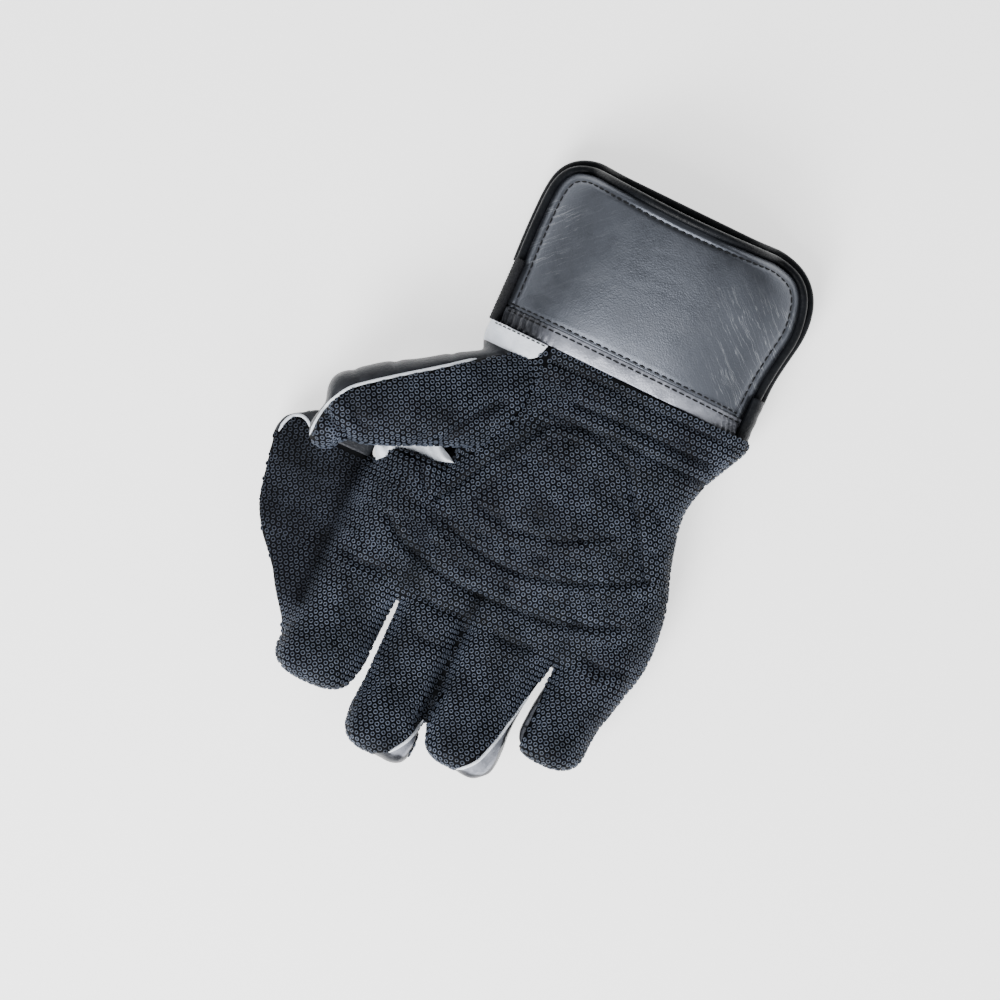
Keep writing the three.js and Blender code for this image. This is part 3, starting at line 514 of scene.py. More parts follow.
# the hand's limbs
# along the hand, left, right, middle height, depth to the front, depth to the back; all shares
handRows = {
    "palm": [
        (0.34, -0.28, 0.525, 0.5, 0.46, 0.6), (0.265, -0.287, 0.528, 0.5, 0.46, 0.6),
        (0.21, -0.262, 0.498, 0.5, 0.46, 0.6), (0.14, -0.24, 0.455, 0.5, 0.46, 0.6),
        (0.06, -0.235, 0.436, 0.5, 0.46, 0.6), (-0.04, -0.225, 0.46, 0.5, 0.46, 0.6),
        (-0.15, -0.29, 0.502, 0.49, 0.44, 0.58), (-0.26, -0.4, 0.516, 0.48, 0.41, 0.55),
        (-0.335, -0.43, 0.503, 0.48, 0.37, 0.5),
    ],
    "index": [
        (-0.068, -0.412, -0.205, 0.48, 0.38, 0.5), (-0.15, -0.43, -0.2, 0.48, 0.4, 0.52),
        (-0.26, -0.443, -0.2, 0.49, 0.4, 0.5), (-0.35, -0.447, -0.208, 0.51, 0.38, 0.42),
        (-0.45, -0.45, -0.215, 0.57, 0.36, 0.37), (-0.53, -0.46, -0.216, 0.66, 0.34, 0.34),
        (-0.565, -0.464, -0.226, 0.7, 0.32, 0.32),
    ],
    "middle": [
        (-0.26, -0.18, -0.02, 0.49, 0.36, 0.46), (-0.35, -0.192, 0.004, 0.51, 0.38, 0.42),
        (-0.45, -0.195, 0.004, 0.59, 0.35, 0.37), (-0.55, -0.197, 0.002, 0.7, 0.33, 0.33),
        (-0.62, -0.203, 0.0, 0.82, 0.32, 0.32), (-0.65, -0.2, 0.0, 0.87, 0.31, 0.31),
    ],
    "ring": [
        (-0.26, 0.02, 0.255, 0.49, 0.36, 0.46), (-0.35, -0.004, 0.267, 0.51, 0.38, 0.42),
        (-0.45, -0.004, 0.246, 0.59, 0.35, 0.37), (-0.525, 0.0, 0.237, 0.68, 0.33, 0.33),
        (-0.59, 0.014, 0.2405, 0.78, 0.32, 0.32), (-0.615, 0.026, 0.239, 0.82, 0.31, 0.31),
    ],
    "little": [
        (-0.26, 0.297, 0.48, 0.49, 0.34, 0.46), (-0.335, 0.2885, 0.495, 0.5, 0.375, 0.44),
        (-0.41, 0.2735, 0.476, 0.54, 0.35, 0.38), (-0.45, 0.264, 0.462, 0.58, 0.34, 0.35),
        (-0.5, 0.257, 0.4555, 0.64, 0.33, 0.33), (-0.52, 0.255, 0.455, 0.67, 0.32, 0.32),
    ],
}
webRows = [
    (-0.062, -0.655, -0.43), (-0.09, -0.708, -0.43), (-0.14, -0.72, -0.42), (-0.225, -0.702, -0.41),
    (-0.29, -0.684, -0.41), (-0.35, -0.643, -0.415), (-0.41, -0.578, -0.425), (-0.46, -0.537, -0.43),
    (-0.52, -0.48, -0.44),
]
webDepth = {"front": 4.2, "back": 3.5}
# reach along the thumb, half width, middle height, depth to the front, depth to the back
thumbRows = [
    (0.0, 0.132, 0.62, 0.35, 0.42), (0.11, 0.137, 0.71, 0.36, 0.38), (0.215, 0.132, 0.82, 0.36, 0.35),
    (0.32, 0.122, 0.92, 0.34, 0.33), (0.425, 0.115, 0.99, 0.33, 0.32), (0.51, 0.099, 1.03, 0.32, 0.31),
]
limbCaps = {
    "palm": 0.03, "index": 0.053, "middle": 0.055, "ring": 0.049, "little": 0.054, "web": 0.022, "thumb": 0.05,
}
limbPowers = {"palm": 3.0, "finger": 2.5, "corner": 2.4}
# seam between front and back: along the hand, height
seamRows = [(-0.8, 0.95), (-0.62, 0.73), (-0.55, 0.63), (-0.45, 0.53), (-0.35, 0.47), (-0.25, 0.46), (0.6, 0.47)]
thumbRoot = np.array([across(-0.095), along(0.174)])
thumbTurn = math.radians(27.2)
thumbWay = np.array([-math.cos(thumbTurn), -math.sin(thumbTurn)])
thumbSide = np.array([-thumbWay[1], thumbWay[0]])
skinSettings = {"voxel": 1.1, "smoothing": 9, "stations": 60, "segments": 72, "capSteps": 12, "capRound": 0.65}


def seamHeight(y):
    rows = np.array(seamRows)
    return up(np.interp(y / glove["handLength"], rows[:, 0], rows[:, 1]))


def limbSkin(stations, way, cap, power, rootCap=0.0):
    # stations: x, y, z, half width, front, back
    side = np.array([-way[1], way[0]])
    loops = [tuple(s) + (1.0,) for s in stations]
    last, before = stations[-1], stations[-5]
    slope = (last[2] - before[2]) / math.hypot(last[0] - before[0], last[1] - before[1])
    steps = skinSettings["capSteps"]
    for i in range(1, steps + 1):
        turn = 0.49 * math.pi * i / steps
        reach = cap * math.sin(turn)
        share = math.cos(turn) ** skinSettings["capRound"]
        centre = (last[0] + way[0] * reach, last[1] + way[1] * reach, last[2] + slope * reach)
        loops.append(centre + tuple(last[3:] * share) + (1.0,))
    if rootCap:
        first = stations[0]
        for i in range(1, 6):
            turn = 0.49 * math.pi * i / 5
            reach = rootCap * math.sin(turn)
            share = math.cos(turn) ** 0.5
            centre = (first[0] - way[0] * reach, first[1] - way[1] * reach, first[2])
            loops.insert(0, centre + tuple(first[3:] * share) + (1.0,))
    loops = np.array(loops)
    turn = 2 * np.pi * (np.arange(skinSettings["segments"]) + 0.5) / skinSettings["segments"]
    c, s = np.cos(turn), np.sin(turn)
    u = np.sign(c) * np.abs(c) ** (2 / power)
    v = np.sign(s) * np.abs(s) ** (2 / power)
    depth = np.where(s > 0, loops[:, 4:5], loops[:, 5:6])
    x = loops[:, 0:1] + side[0] * loops[:, 3:4] * u
    y = loops[:, 1:2] + side[1] * loops[:, 3:4] * u
    z = np.maximum(loops[:, 2:3] + depth * v, 0.0)
    points = np.stack([x, y, z], -1).reshape(-1, 3)
    return points, closedLoops(len(loops), skinSettings["segments"])


def handStations(rows):
    a, left, right, middle, front, back = throughRows(rows, skinSettings["stations"]).T
    x = across((left + right) / 2)
    return np.stack([x, along(a), up(middle), across((right - left) / 2), up(front), up(back)], 1)


fingersWay = np.array([0.0, -1.0])
limbSkins = {}
for limbName, rows in handRows.items():
    root = along(limbCaps["web"]) if limbName == "index" else 0.0
    power = limbPowers.get(limbName, limbPowers["finger"])
    limbSkins[limbName] = limbSkin(handStations(rows), fingersWay, along(limbCaps[limbName]), power, root)
webRun = throughRows(webRows, skinSettings["stations"])
webStations = np.stack([
    across((webRun[:, 1] + webRun[:, 2]) / 2), along(webRun[:, 0]), seamHeight(along(webRun[:, 0])),
    across((webRun[:, 2] - webRun[:, 1]) / 2), *(np.full(len(webRun), webDepth[side]) for side in ("front", "back")),
], 1)
webCap = along(limbCaps["web"])
limbSkins["web"] = limbSkin(webStations, fingersWay, webCap, limbPowers["finger"], webCap)
thumbRun = throughRows(thumbRows, skinSettings["stations"])
thumbStations = np.column_stack([
    thumbRoot + thumbWay * across(thumbRun[:, :1]), up(thumbRun[:, 2]), across(thumbRun[:, 1]),
    up(thumbRun[:, 3]), up(thumbRun[:, 4]),
])
limbSkins["thumb"] = limbSkin(thumbStations, thumbWay, along(limbCaps["thumb"]), limbPowers["finger"])
# blunt corners of the tips and a fold at the thumb's root: x, y, z, half width, front, back of two
# stations, then the reach of the cap
cornerRoot = 6.0
corners = {
    "corner": [(-89.4, -9.0, 44.5, 9.4, 13.0, 12.0), (-92.8, -15.4, 44.0, 7.8, 12.0, 11.0), 9.5],
    "middleTip": [(-7.8, -124.0, 37.0, 8.0, 12.0, 12.0), (-7.0, -130.8, 39.0, 8.0, 11.0, 11.0), 10.8],
    "ringTip": [(28.6, -116.0, 35.0, 8.0, 12.0, 12.0), (27.6, -122.8, 37.0, 8.0, 11.0, 11.0), 10.8],
    "rootFold": [(-40.5, 7.0, 20.0, 6.0, 10.0, 11.0), (-40.5, -5.0, 21.0, 6.0, 10.0, 11.0), 5.0],
}
for name, (first, last, reach) in corners.items():
    limbSkins[name] = limbSkin(throughRows([first, last], 8), fingersWay, reach, limbPowers["corner"], cornerRoot)


def meldedSkin(names):
    # one smooth skin around all the named limbs
    obj = newObject("meld", *joinParts([limbSkins[n] for n in names]), smooth=False)
    remesh = obj.modifiers.new("meld", "REMESH")
    remesh.mode = "VOXEL"
    remesh.voxel_size = skinSettings["voxel"] * mm
    points, tris = evaluated(obj)
    bpy.data.objects.remove(obj)
    edges, _ = meshEdges(tris)
    points = relaxed(points, edges, skinSettings["smoothing"])
    points[:, 2] = np.maximum(points[:, 2], 0.0)
    return points, tris


fingerNames = ("index", "middle", "ring", "little")
handPoints, handTris = meldedSkin(["palm", *fingerNames, "web", "middleTip", "ringTip", "rootFold"])
thumbPoints, thumbTris = meldedSkin(["palm", "thumb", "corner"])
print(f"skins melded: hand {len(handTris)} triangles, thumb {len(thumbTris)}")

# plan lines of the seams: across, along
creaseLine = planLine([(-0.1, 0.45), (-0.095, 0.23), (-0.1, 0.15), (-0.12, 0.075), (-0.162, 0.02), (-0.225, -0.035)])
wristPanelLine = planLine([
    (-0.5, 0.247), (-0.25, 0.247), (-0.14, 0.247), (-0.12, 0.26), (-0.1, 0.31), (-0.08, 0.45), (-0.5, 0.45),
])
thumbWeltLine = planLine([
    (-0.2, 0.245), (-0.275, 0.2), (-0.362, 0.147), (-0.43, 0.108), (-0.508, 0.062), (-0.563, 0.026),
    (-0.589, -0.006), (-0.605, -0.035), (-0.613, -0.07), (-0.616, -0.12),
])
ringWallLine = planLine([
    (0.27, -0.36), (0.245, -0.44), (0.2285, -0.501), (0.2125, -0.56), (0.1895, -0.6175), (0.165, -0.644),
    (0.14, -0.66),
])
middleWallLine = planLine([
    (0.0, -0.56), (0.0, -0.59), (-0.0125, -0.636), (-0.029, -0.661), (-0.051, -0.686), (-0.085, -0.7),
])
webWeltLine = planLine([
    (-0.704, -0.13), (-0.701, -0.108), (-0.69, -0.089), (-0.67, -0.0775), (-0.65, -0.078), (-0.633, -0.086),
    (-0.615, -0.1),
])
fingerSplit = along(-0.385)
knuckle = along(-0.24)
wallBand = 9.0
# dark edge of the finger walls: lift over the seam, at the tips, where the tips start, the last x
rim = {"lift": 11.5, "tipLift": 17.5, "middleTip": 135.0, "ringTip": 129.5, "until": 58.0}
wrist = {"left": 0.303, "right": 0.275}


def wristY(x):
    slope = (wrist["right"] - wrist["left"]) * glove["handLength"] / glove["handWidth"]
    return along((wrist["left"] + wrist["right"]) / 2) + slope * x


# the same lines closed to areas, in mm; the added corners lie away from the pieces they cut
far = across(1.3)
ringWallRight = across(0.276)
webLeatherRight = across(-0.44)
creaseArea = np.vstack([creaseLine, [[-far, along(-0.035)], [-far, along(0.45)]]])
thumbLeatherArea = np.vstack([
    thumbWeltLine, [[thumbWeltLine[-1][0], -60], [-far, -60], [-far, 90], [thumbWeltLine[0][0], 90]],
])
ringWallArea = np.vstack([
    ringWallLine, [[ringWallLine[-1][0], -far], [ringWallRight, -far], [ringWallRight, along(-0.36)]],
])
middleWallArea = np.vstack([middleWallLine, [[middleWallLine[-1][0], -far], [0, -far]]])
webLeatherArea = np.vstack([
    [[-far, webWeltLine[0][1]]], webWeltLine,
    [[webLeatherRight, along(-0.1)], [webLeatherRight, along(0.3)], [-far, along(0.3)]],
])


# folds and quilting of the rubber: depth, width, then points of the line
palmFolds = {
    "grooves": [
        (0.9, 1.5, [(-12, 52.6), (20, 52.0), (50, 51.0), (80, 49.5)]),
        (1.5, 2.0, [(6, 39.5), (30, 40.0), (50, 39.3), (70, 38.5)]),
        (1.2, 1.7, [(-6, 31), (20, 31.8), (50, 31.2), (74, 29.5)]),
        (1.1, 1.5, [(-6, 26), (5, 28.5), (15, 30), (32, 26), (40, 21), (45, 12)]),
        (1.2, 1.5, [(-3, 25), (-11, 14), (-19, 2), (-27, -11), (-35, -24)]),
        (0.7, 1.4, [(3, 22), (-5, 9), (-13, -5), (-19, -16)]),
        (1.0, 1.5, [(45, 12), (53, 0), (60, -12), (66, -20)]),
        (0.9, 1.4, [(-19, -18), (-14, -20.5), (0, -23), (20, -20.5), (35, -14), (44, -8)]),
        (1.5, 1.8, [(-35, -24), (-32, -30.5), (-10, -38.5), (10, -40.5), (32, -36), (52, -28), (66, -21)]),
        (1.1, 1.6, [(-47.5, -13), (-41, -23), (-34, -33), (-20, -40)]),
        (1.5, 1.9, [
            (-52, -40.5), (-42, -48), (-27, -53), (-10, -56.5), (10, -56.5), (35, -54.5), (47, -51), (65, -44),
        ]),
        (1.3, 2.2, [(-20, -68), (-12.5, -69.5), (-5, -68)]),
        (1.3, 2.2, [(14, -69.5), (22.5, -70.5), (31, -69)]),
        (1.1, 2.4, [(56, -63.5), (65, -65), (73, -63)]),
        (1.2, 2.4, [(-63, -63), (-56, -65), (-47, -64)]),
        (0.9, 2.2, [(-18, -83.5), (-12.5, -85), (-7, -84)]),
        (2.0, 3.2, [(0, -58), (0, -75), (0, -95), (-1, -120)]),
        (1.2, 3.5, [(-34, -36), (-33, -50), (-32.5, -66)]),
        (1.0, 3.0, [(45, -50), (44, -60), (43.5, -70)]),
        (1.5, 3.0, [(-74, -25), (-73.5, -45), (-73.5, -65), (-73.5, -90)]),
    ],
    "dimples": [
        (-4, 22), (11, 23), (27, 13), (40, 7), (30, -3), (60, 7), (64, -8), (10, -14), (32, -15.5), (32, -27),
        (-27, -30), (-6, -20), (14, 12), (2, 8), (20, 3), (48, -14), (6, -31), (-10, -31), (18, -30), (48, -38),
        (30, -46), (10, -48), (-10, -48), (-28, -44), (56, 44), (30, 45), (66, 44), (12, 45), (-40, -30), (70, -30),
    ],
    "dimpleDepth": 1.05,
    "dimpleWidth": 2.6,
    "unevenness": 0.55,
}
thumbFolds = {
    "grooves": [
        (1.5, 2.2, [(-44.5, -3), (-41, 4), (-36, 13), (-30, 21), (-25, 27)]),
        (0.9, 1.8, [(-27, -3), (-21, 4), (-17.5, 10), (-16, 18)]),
        (0.8, 1.8, [(-52, -3), (-48, 6), (-43, 15)]),
        (1.5, 2.0, [(-97, -10), (-91, -12), (-83, -15), (-78, -19)]),
        (0.7, 2.4, [(-92, 2), (-85, -3), (-78, -9)]),
    ],
    "unevenness": 0.5,
}
leatherFolds = {
    "grooves": [
        (0.8, 1.7, [(-40, 54), (-33, 46), (-30, 40)]),
        (0.7, 1.6, [(-60, 43), (-52, 34), (-50, 28)]),
        (0.8, 1.8, [(-79, 27), (-74, 20), (-73, 14)]),
        (0.7, 1.6, [(-93, 14), (-87, 8)]),
    ],
}


def relief(points, folds):
    xy = points[:, :2]
    height = np.zeros(len(xy))
    for depth, width, line in folds["grooves"]:
        run = evenPath(throughRows(line, 30), 1.5) if len(line) > 2 else np.array(line, float)
        d = lineDistance(xy, run)
        height -= depth * np.exp(-((d / width) ** 2))
        height += 0.18 * depth * np.exp(-(((d - 2.4 * width) / (1.3 * width)) ** 2))
    for x, y in folds.get("dimples", []):
        d = np.hypot(xy[:, 0] - x, (xy[:, 1] - y) * 1.25)
        height -= folds["dimpleDepth"] * np.exp(-((d / folds["dimpleWidth"]) ** 2))
    return height


# depth and width of the valley along each kind of seam
seamValleys = {
    "hand": (0.9, 1.3), "flex": (1.2, 1.8), "wall": (0.8, 1.3), "thumb": (0.8, 1.3), "leather": (0.7, 1.2),
    "crease": (0.6, 0.9), "panel": (0.6, 1.1),
}


def seamValley(field, seam):
    depth, width = seamValleys[seam]
    return -depth * np.exp(-((field / width) ** 2))


def fillValley(points, tris):
    # the webbing runs smoothly up the side of the index finger
    rows = np.array(handRows["index"])[::-1]
    edge = across(np.interp(points[:, 1] / glove["handLength"], rows[:, 0], rows[:, 1]))
    lift = points[:, 2] - seamHeight(points[:, 1])
    weight = smoothstep(-np.abs(points[:, 0] - edge - 1.5), -13, -6) * smoothstep(lift, 1.0, 4.0)
    weight *= smoothstep(points[:, 1], -106, -92) * smoothstep(-points[:, 1], 14, 22)
    return relaxed(points, meshEdges(tris)[0], 260, 0.9 * weight[:, None])


def shapeHand(points, tris):
    # columns out: shaped x y z, plain x y z, normal
    points = fillValley(points, tris)
    normals = vertexNormals(points, tris)
    xy = points[:, :2]
    lift = points[:, 2] - seamHeight(points[:, 1])
    front = smoothstep(lift, 1.5, 9.0)
    push = front * relief(points, palmFolds)
    push += front * palmFolds["unevenness"] * (softNoise(points, 21.0, 1.0) + 0.5 * softNoise(points, 8.0, 2.0))
    push += front * 0.3 * softNoise(points, 4.5, 17.0)
    push += seamValley(lift, "hand") * (lineDistance(xy, webWeltLine) > 4)
    back = 1 - smoothstep(lift, -9.0, -2.0)
    flex = np.minimum(np.abs(points[:, 1] - fingerSplit), np.abs(points[:, 1] - knuckle))
    push += back * seamValley(flex, "flex")
    push += back * 0.5 * softNoise(points, 16.0, 3.0)
    beyond = points[:, 1] < fingerSplit
    push += beyond * seamValley(lift + wallBand, "wall")
    web = smoothstep(across(-0.455) - points[:, 0], 0, 5) * front
    shaped = points + normals * push[:, None]
    shaped[:, 2] += web * 2.0 * np.sin(np.clip((points[:, 0] + 114) / 40, 0, 1) * np.pi)
    shaped[:, 2] = np.maximum(shaped[:, 2], 0.0)
    return np.hstack([shaped, points, normals])


def shapeThumb(points, tris, outside):
    normals = vertexNormals(points, tris)
    xy = points[:, :2]
    reach = (xy - thumbRoot) @ thumbWay
    thumbSeam = up(0.72 + 0.3 * np.clip(reach / across(0.75), 0, 1))
    seam = seamHeight(points[:, 1]) + (thumbSeam - seamHeight(points[:, 1])) * np.clip(outside / 2.0, 0, 1)
    lift = points[:, 2] - seam
    front = smoothstep(lift, 1.0, 7.0)
    leather = insideField(xy, thumbLeatherArea)
    rubber = smoothstep(-leather, -0.5, 2.5)
    push = front * rubber * relief(points, thumbFolds)
    push += front * rubber * thumbFolds["unevenness"] * softNoise(points, 15.0, 4.0)
    palmPart = smoothstep(xy[:, 0] - creaseLine[3][0], -16, 4)
    push += front * palmPart * relief(points, palmFolds)
    push += (1 - rubber) * (0.6 * relief(points, leatherFolds) + 0.2 * softNoise(points, 11.0, 5.0))
    push += seamValley(lift, "thumb") * smoothstep(-leather, -2, 1) + front * seamValley(leather, "leather")
    push += front * seamValley(insideField(xy, creaseArea), "crease")
    push += front * seamValley(insideField(xy, wristPanelLine), "panel")
    shaped = points + normals * push[:, None]
    shaped[:, 2] = np.maximum(shaped[:, 2], 0.0)
    return np.hstack([shaped, points, normals]), lift, leather


handTree = treeOf(handPoints, handTris)
outsideHand = np.empty(len(thumbPoints))
for i, p in enumerate(thumbPoints):
    place, normal, _, distance = handTree.find_nearest(Vector(p))
    outsideHand[i] = distance if (Vector(p) - place).dot(normal) > 0 else -distance
handSkin = shapeHand(handPoints, handTris)
thumbSkin, thumbLift, thumbLeather = shapeThumb(thumbPoints, thumbTris, outsideHand)
thumbColumns = {"outside": 9, "lift": 10, "leather": 11}
thumbSkin = np.column_stack([thumbSkin, outsideHand, thumbLift, thumbLeather])
print("skins shaped")


# cut the skins into the sewn pieces
def cutBy(part, fieldOf):
    points, tris = part
    return cutMesh(points, tris, fieldOf(points))


def plain(points):
    return points[:, 3:6]


def cutOut(part, area):
    # the part inside a plan area, then the rest
    return cutBy(part, lambda p: insideField(plain(p)[:, :2], area))


def lowerField(points):
    return wristY(plain(points)[:, 0]) - plain(points)[:, 1]


def seamField(points):
    return plain(points)[:, 2] - seamHeight(plain(points)[:, 1])


hand, _ = cutBy((handSkin, handTris), lowerField)
handFront, handRear = cutBy(hand, seamField)
_, facing = cutOut(handFront, creaseArea)
_, facing = cutOut(facing, wristPanelLine)
ringWallTop, facing = cutOut(facing, ringWallArea)
middleWallTop, facing = cutOut(facing, middleWallArea)
webTop, facing = cutOut(facing, webLeatherArea)


def webField(points):
    rows = np.array(handRows["index"])[::-1]
    edge = across(np.interp(plain(points)[:, 1] / glove["handLength"], rows[:, 0], rows[:, 1]))
    return np.minimum(edge - 1.2 - plain(points)[:, 0], along(-0.04) - plain(points)[:, 1])


webRear, handRear = cutBy(handRear, webField)
handBack, fingerRear = cutBy(handRear, lambda p: plain(p)[:, 1] - fingerSplit)
wallsAll, backsAll = cutBy(fingerRear, lambda p: seamField(p) + wallBand)


def ringLittleX(y, at, slope):
    # line between ring and little finger, given where it passes y -80
    return at + (y + 80) * slope


def byFinger(part):
    index, rest = cutBy(part, lambda p: across(-0.2) - plain(p)[:, 0])
    middle, rest = cutBy(rest, lambda p: -plain(p)[:, 0])
    ring, little = cutBy(rest, lambda p: ringLittleX(plain(p)[:, 1], 42.5, 0.085) - plain(p)[:, 0])
    return dict(zip(fingerNames, (index, middle, ring, little)))


def welded(parts):
    # joins cut pieces that share a border
    points = np.vstack([p for p, _ in parts])
    bases = np.cumsum([0] + [len(p) for p, _ in parts])
    tris = np.vstack([t + b for (_, t), b in zip(parts, bases)])
    _, first, where = np.unique(np.round(points[:, 3:6], 3), axis=0, return_index=True, return_inverse=True)
    tris = where.reshape(-1)[tris]
    good = (tris[:, 0] != tris[:, 1]) & (tris[:, 1] != tris[:, 2]) & (tris[:, 0] != tris[:, 2])
    return tidyPoints(points[first], tris[good])


walls = byFinger(wallsAll)
backs = byFinger(backsAll)
walls["ring"] = welded([walls["ring"], ringWallTop])
walls["middle"] = welded([walls["middle"], middleWallTop])
webBack = welded([webRear, webTop])

thumbBody, _ = cutBy((thumbSkin, thumbTris), lowerField)
thumbFront, thumbRest = cutBy(thumbBody, lambda p: p[:, thumbColumns["lift"]])
wristPanel, thumbFront = cutOut(thumbFront, wristPanelLine)
thumbLeatherTop, thumbRubber = cutBy(thumbFront, lambda p: p[:, thumbColumns["leather"]])
creaseHalf = np.vstack([creaseLine, [[creaseLine[-1][0], -far], [-far, -far], [-far, along(0.45)]]])
thumbFacing, _ = cutOut(thumbRubber, creaseHalf)
thumbUnder, _ = cutBy(thumbRest, lambda p: p[:, thumbColumns["outside"]] - 0.15)
thumbBack = welded([thumbLeatherTop, thumbUnder])


def biggest(part):
    # keeps the largest connected body
    points, tris = part
    label = np.arange(len(points))
    edges, _ = meshEdges(tris)
    while True:
        low = np.minimum(label[edges[:, 0]], label[edges[:, 1]])
        before = label.copy()
        np.minimum.at(label, edges[:, 0], low)
        np.minimum.at(label, edges[:, 1], low)
        label = label[label]
        if (label == before).all():
            break
    names, counts = np.unique(label[tris[:, 0]], return_counts=True)
    return tidyPoints(points, tris[label[tris[:, 0]] == names[counts.argmax()]])


def putShell(name, part, depth, slotName, nodes, toneOf=None):
    points, tris = biggest(part)
    normals = relaxed(points[:, 6:9], meshEdges(tris)[0], 12)
    normals /= np.maximum(np.linalg.norm(normals, axis=1), 1e-9)[:, None]
    allPoints, faces = thickened(points[:, :3], tris, -normals, depth)
    tone = None
    if toneOf is not None:
        tone = np.concatenate([toneOf(points), np.zeros(len(points))])
    return putPiece(name, allPoints, faces, slotName, nodes, tone)


def darkRim(points):
    # the walls are dark along the outline and over the tips; the little finger's only on its left
    x, y = plain(points)[:, 0], plain(points)[:, 1]
    tipStart = np.where(x < 4, rim["middleTip"], rim["ringTip"])
    high = rim["lift"] + (rim["tipLift"] - rim["lift"]) * smoothstep(-y - tipStart, 0, 3.5)
    return smoothstep(high - seamField(points), -0.4, 0.4) * smoothstep(rim["until"] - x, -3, 3)


shellDepth = {"rubber": 2.4, "leather": 3.2, "side": 2.6, "thin": 2.0}
facingNodes = ["palm_facing"] + [finger + "_facing" for finger in fingerNames]
putShell("palmFacing", facing, shellDepth["rubber"], "pimpled_rubber", facingNodes)
putShell("thumbFacing", thumbFacing, shellDepth["rubber"], "pimpled_rubber", ["thumb_facing"])
putShell("wristPanel", wristPanel, shellDepth["thin"], "white_leather", ["wrist_panel"])
putShell("thumbBack", thumbBack, shellDepth["leather"], "grey_leather", ["thumb_back"])
putShell("handBack", handBack, shellDepth["leather"], "grey_leather", ["hand_back"])
putShell("webbingBack", webBack, shellDepth["thin"], "grey_leather", ["webbing_back"])
for finger in fingerNames:
    toneOf = None if finger == "index" else darkRim
    putShell(finger + "Wall", walls[finger], shellDepth["side"], "pale_silver_leather", [finger + "_wall"], toneOf)
    back = putShell(finger + "Back", backs[finger], shellDepth["leather"], "black_leather", [finger + "_back"])
print("shells sewn")


# raised rings of the rubber, on a hexagonal lattice that follows the surface
rings = {
    "pitch": 2.8,
    "profile": [(1.18, -0.3), (1.12, 0.2), (0.94, 0.52), (0.7, 0.48), (0.56, -0.05)],
    "crown": [0.0, 0.35, 1.0, 0.85, 0.0],
    "sides": 8,
    "edge": 0.8,
    "tightEdge": 0.25,
    "steepest": 0.35,
    "packing": 0.93,
    "jitter": 0.07,
}


def surfaceTree(part):
    points, tris = biggest(part)
    tree = treeOf(points, tris)
    edges, counts = meshEdges(tris)
    rimPoints = points[np.unique(edges[counts == 1]), :3]
    border = KDTree(len(rimPoints))
    for i, p in enumerate(rimPoints):
        border.insert(Vector(p), i)
    border.balance()
    return tree, border


def dropOn(tree, x, y):
    place, normal, _, _ = tree.ray_cast(Vector((x, y, 120.0)), Vector((0, 0, -1)))
    return place, normal


def profileRun(values, heights):
    return np.r_[0, np.cumsum(np.hypot(np.diff(values), np.diff(heights)))]


def walkSteps(values, heights, start, step, offset):
    # positions an equal way apart along a profile, walked outward from start
    run = profileRun(values, heights)
    zero = np.interp(start, values, run) + offset
    first = math.ceil((run[0] - zero) / step)
    last = math.floor((run[-1] - zero) / step)
    at = zero + step * np.arange(first, last + 1)
    return np.interp(at, run, values)


rowStep = rings["pitch"] * math.sqrt(0.75)


def latticeOn(tree, toPlan, rowRange, span, anchorOf, firstRow=0):
    # rows at equal ways along the crest, rings at equal ways along each row
    pitch = rings["pitch"]
    rowValues = np.arange(rowRange[0], rowRange[1] + 1e-6, 0.5 if rowRange[1] > rowRange[0] else -0.5)
    crest = []
    for v in rowValues:
        place, _ = dropOn(tree, *toPlan(anchorOf(v), v))
        crest.append(place.z if place else np.nan)
    crest = np.array(crest)
    known = ~np.isnan(crest)
    order = np.arange(len(crest))
    crest = np.interp(order, order[known], crest[known])
    run = profileRun(rowValues, crest)
    rowPlaces = np.interp(np.arange(0, run[-1], rowStep), run, rowValues)
    spots = []
    for k, v in enumerate(rowPlaces):
        values = np.arange(*span, 0.4)
        heights = []
        for a in values:
            place, _ = dropOn(tree, *toPlan(a, v))
            heights.append(place.z if place else np.nan)
        heights = np.array(heights)
        known = ~np.isnan(heights)
        if known.sum() < 4:
            continue
        offset = pitch / 2 if (k + firstRow) % 2 else 0.0
        anchor = round(anchorOf(v) / pitch) * pitch
        for a in walkSteps(values[known], heights[known], anchor, pitch, offset):
            spots.append(toPlan(a, v))
    return spots, len(rowPlaces), float(rowPlaces[-1])


def ringPlaces(tree, border, spots):
    places, normals = [], []
    for x, y in spots:
        place, normal = dropOn(tree, x, y)
        if place is None or normal.z < rings["steepest"]:
            continue
        atCrease = lineDistance(np.array([[place.x, place.y]]), creaseLine)[0] < 3
        room = rings["tightEdge"] if atCrease or place.y > along(0.25) else rings["edge"]
        if border.find(place)[2] < room:
            continue
        places.append(place)
        normals.append(normal)
    return np.array(places), np.array(normals)


def sidePlaces(part, border, taken):
    # steep sides: rings packed outward from the lattice, each beside the ones already there
    points, _ = biggest(part)
    normals = points[:, 6:9]
    apart = rings["pitch"] * rings["packing"]
    cells = {}

    def near(p):
        cell = tuple(np.floor(p / apart).astype(int))
        around = [(i, j, k) for i in (-1, 0, 1) for j in (-1, 0, 1) for k in (-1, 0, 1)]
        return [q for i, j, k in around for q in cells.get((cell[0] + i, cell[1] + j, cell[2] + k), [])]

    def keep(p):
        cells.setdefault(tuple(np.floor(p / apart).astype(int)), []).append(p)

    for p in taken:
        keep(p)
    steep = np.flatnonzero(normals[:, 2] < rings["steepest"] + 0.2)
    steep = steep[np.argsort(-normals[steep, 2], kind="stable")]
    places, ways = [], []
    for i in steep:
        p = points[i, :3]
        if any(((p - q) ** 2).sum() < apart * apart for q in near(p)):
            continue
        if border.find(p)[2] < rings["edge"] + 0.5:
            continue
        keep(p)
        places.append(p)
        ways.append(normals[i])
    return np.array(places), np.array(ways)


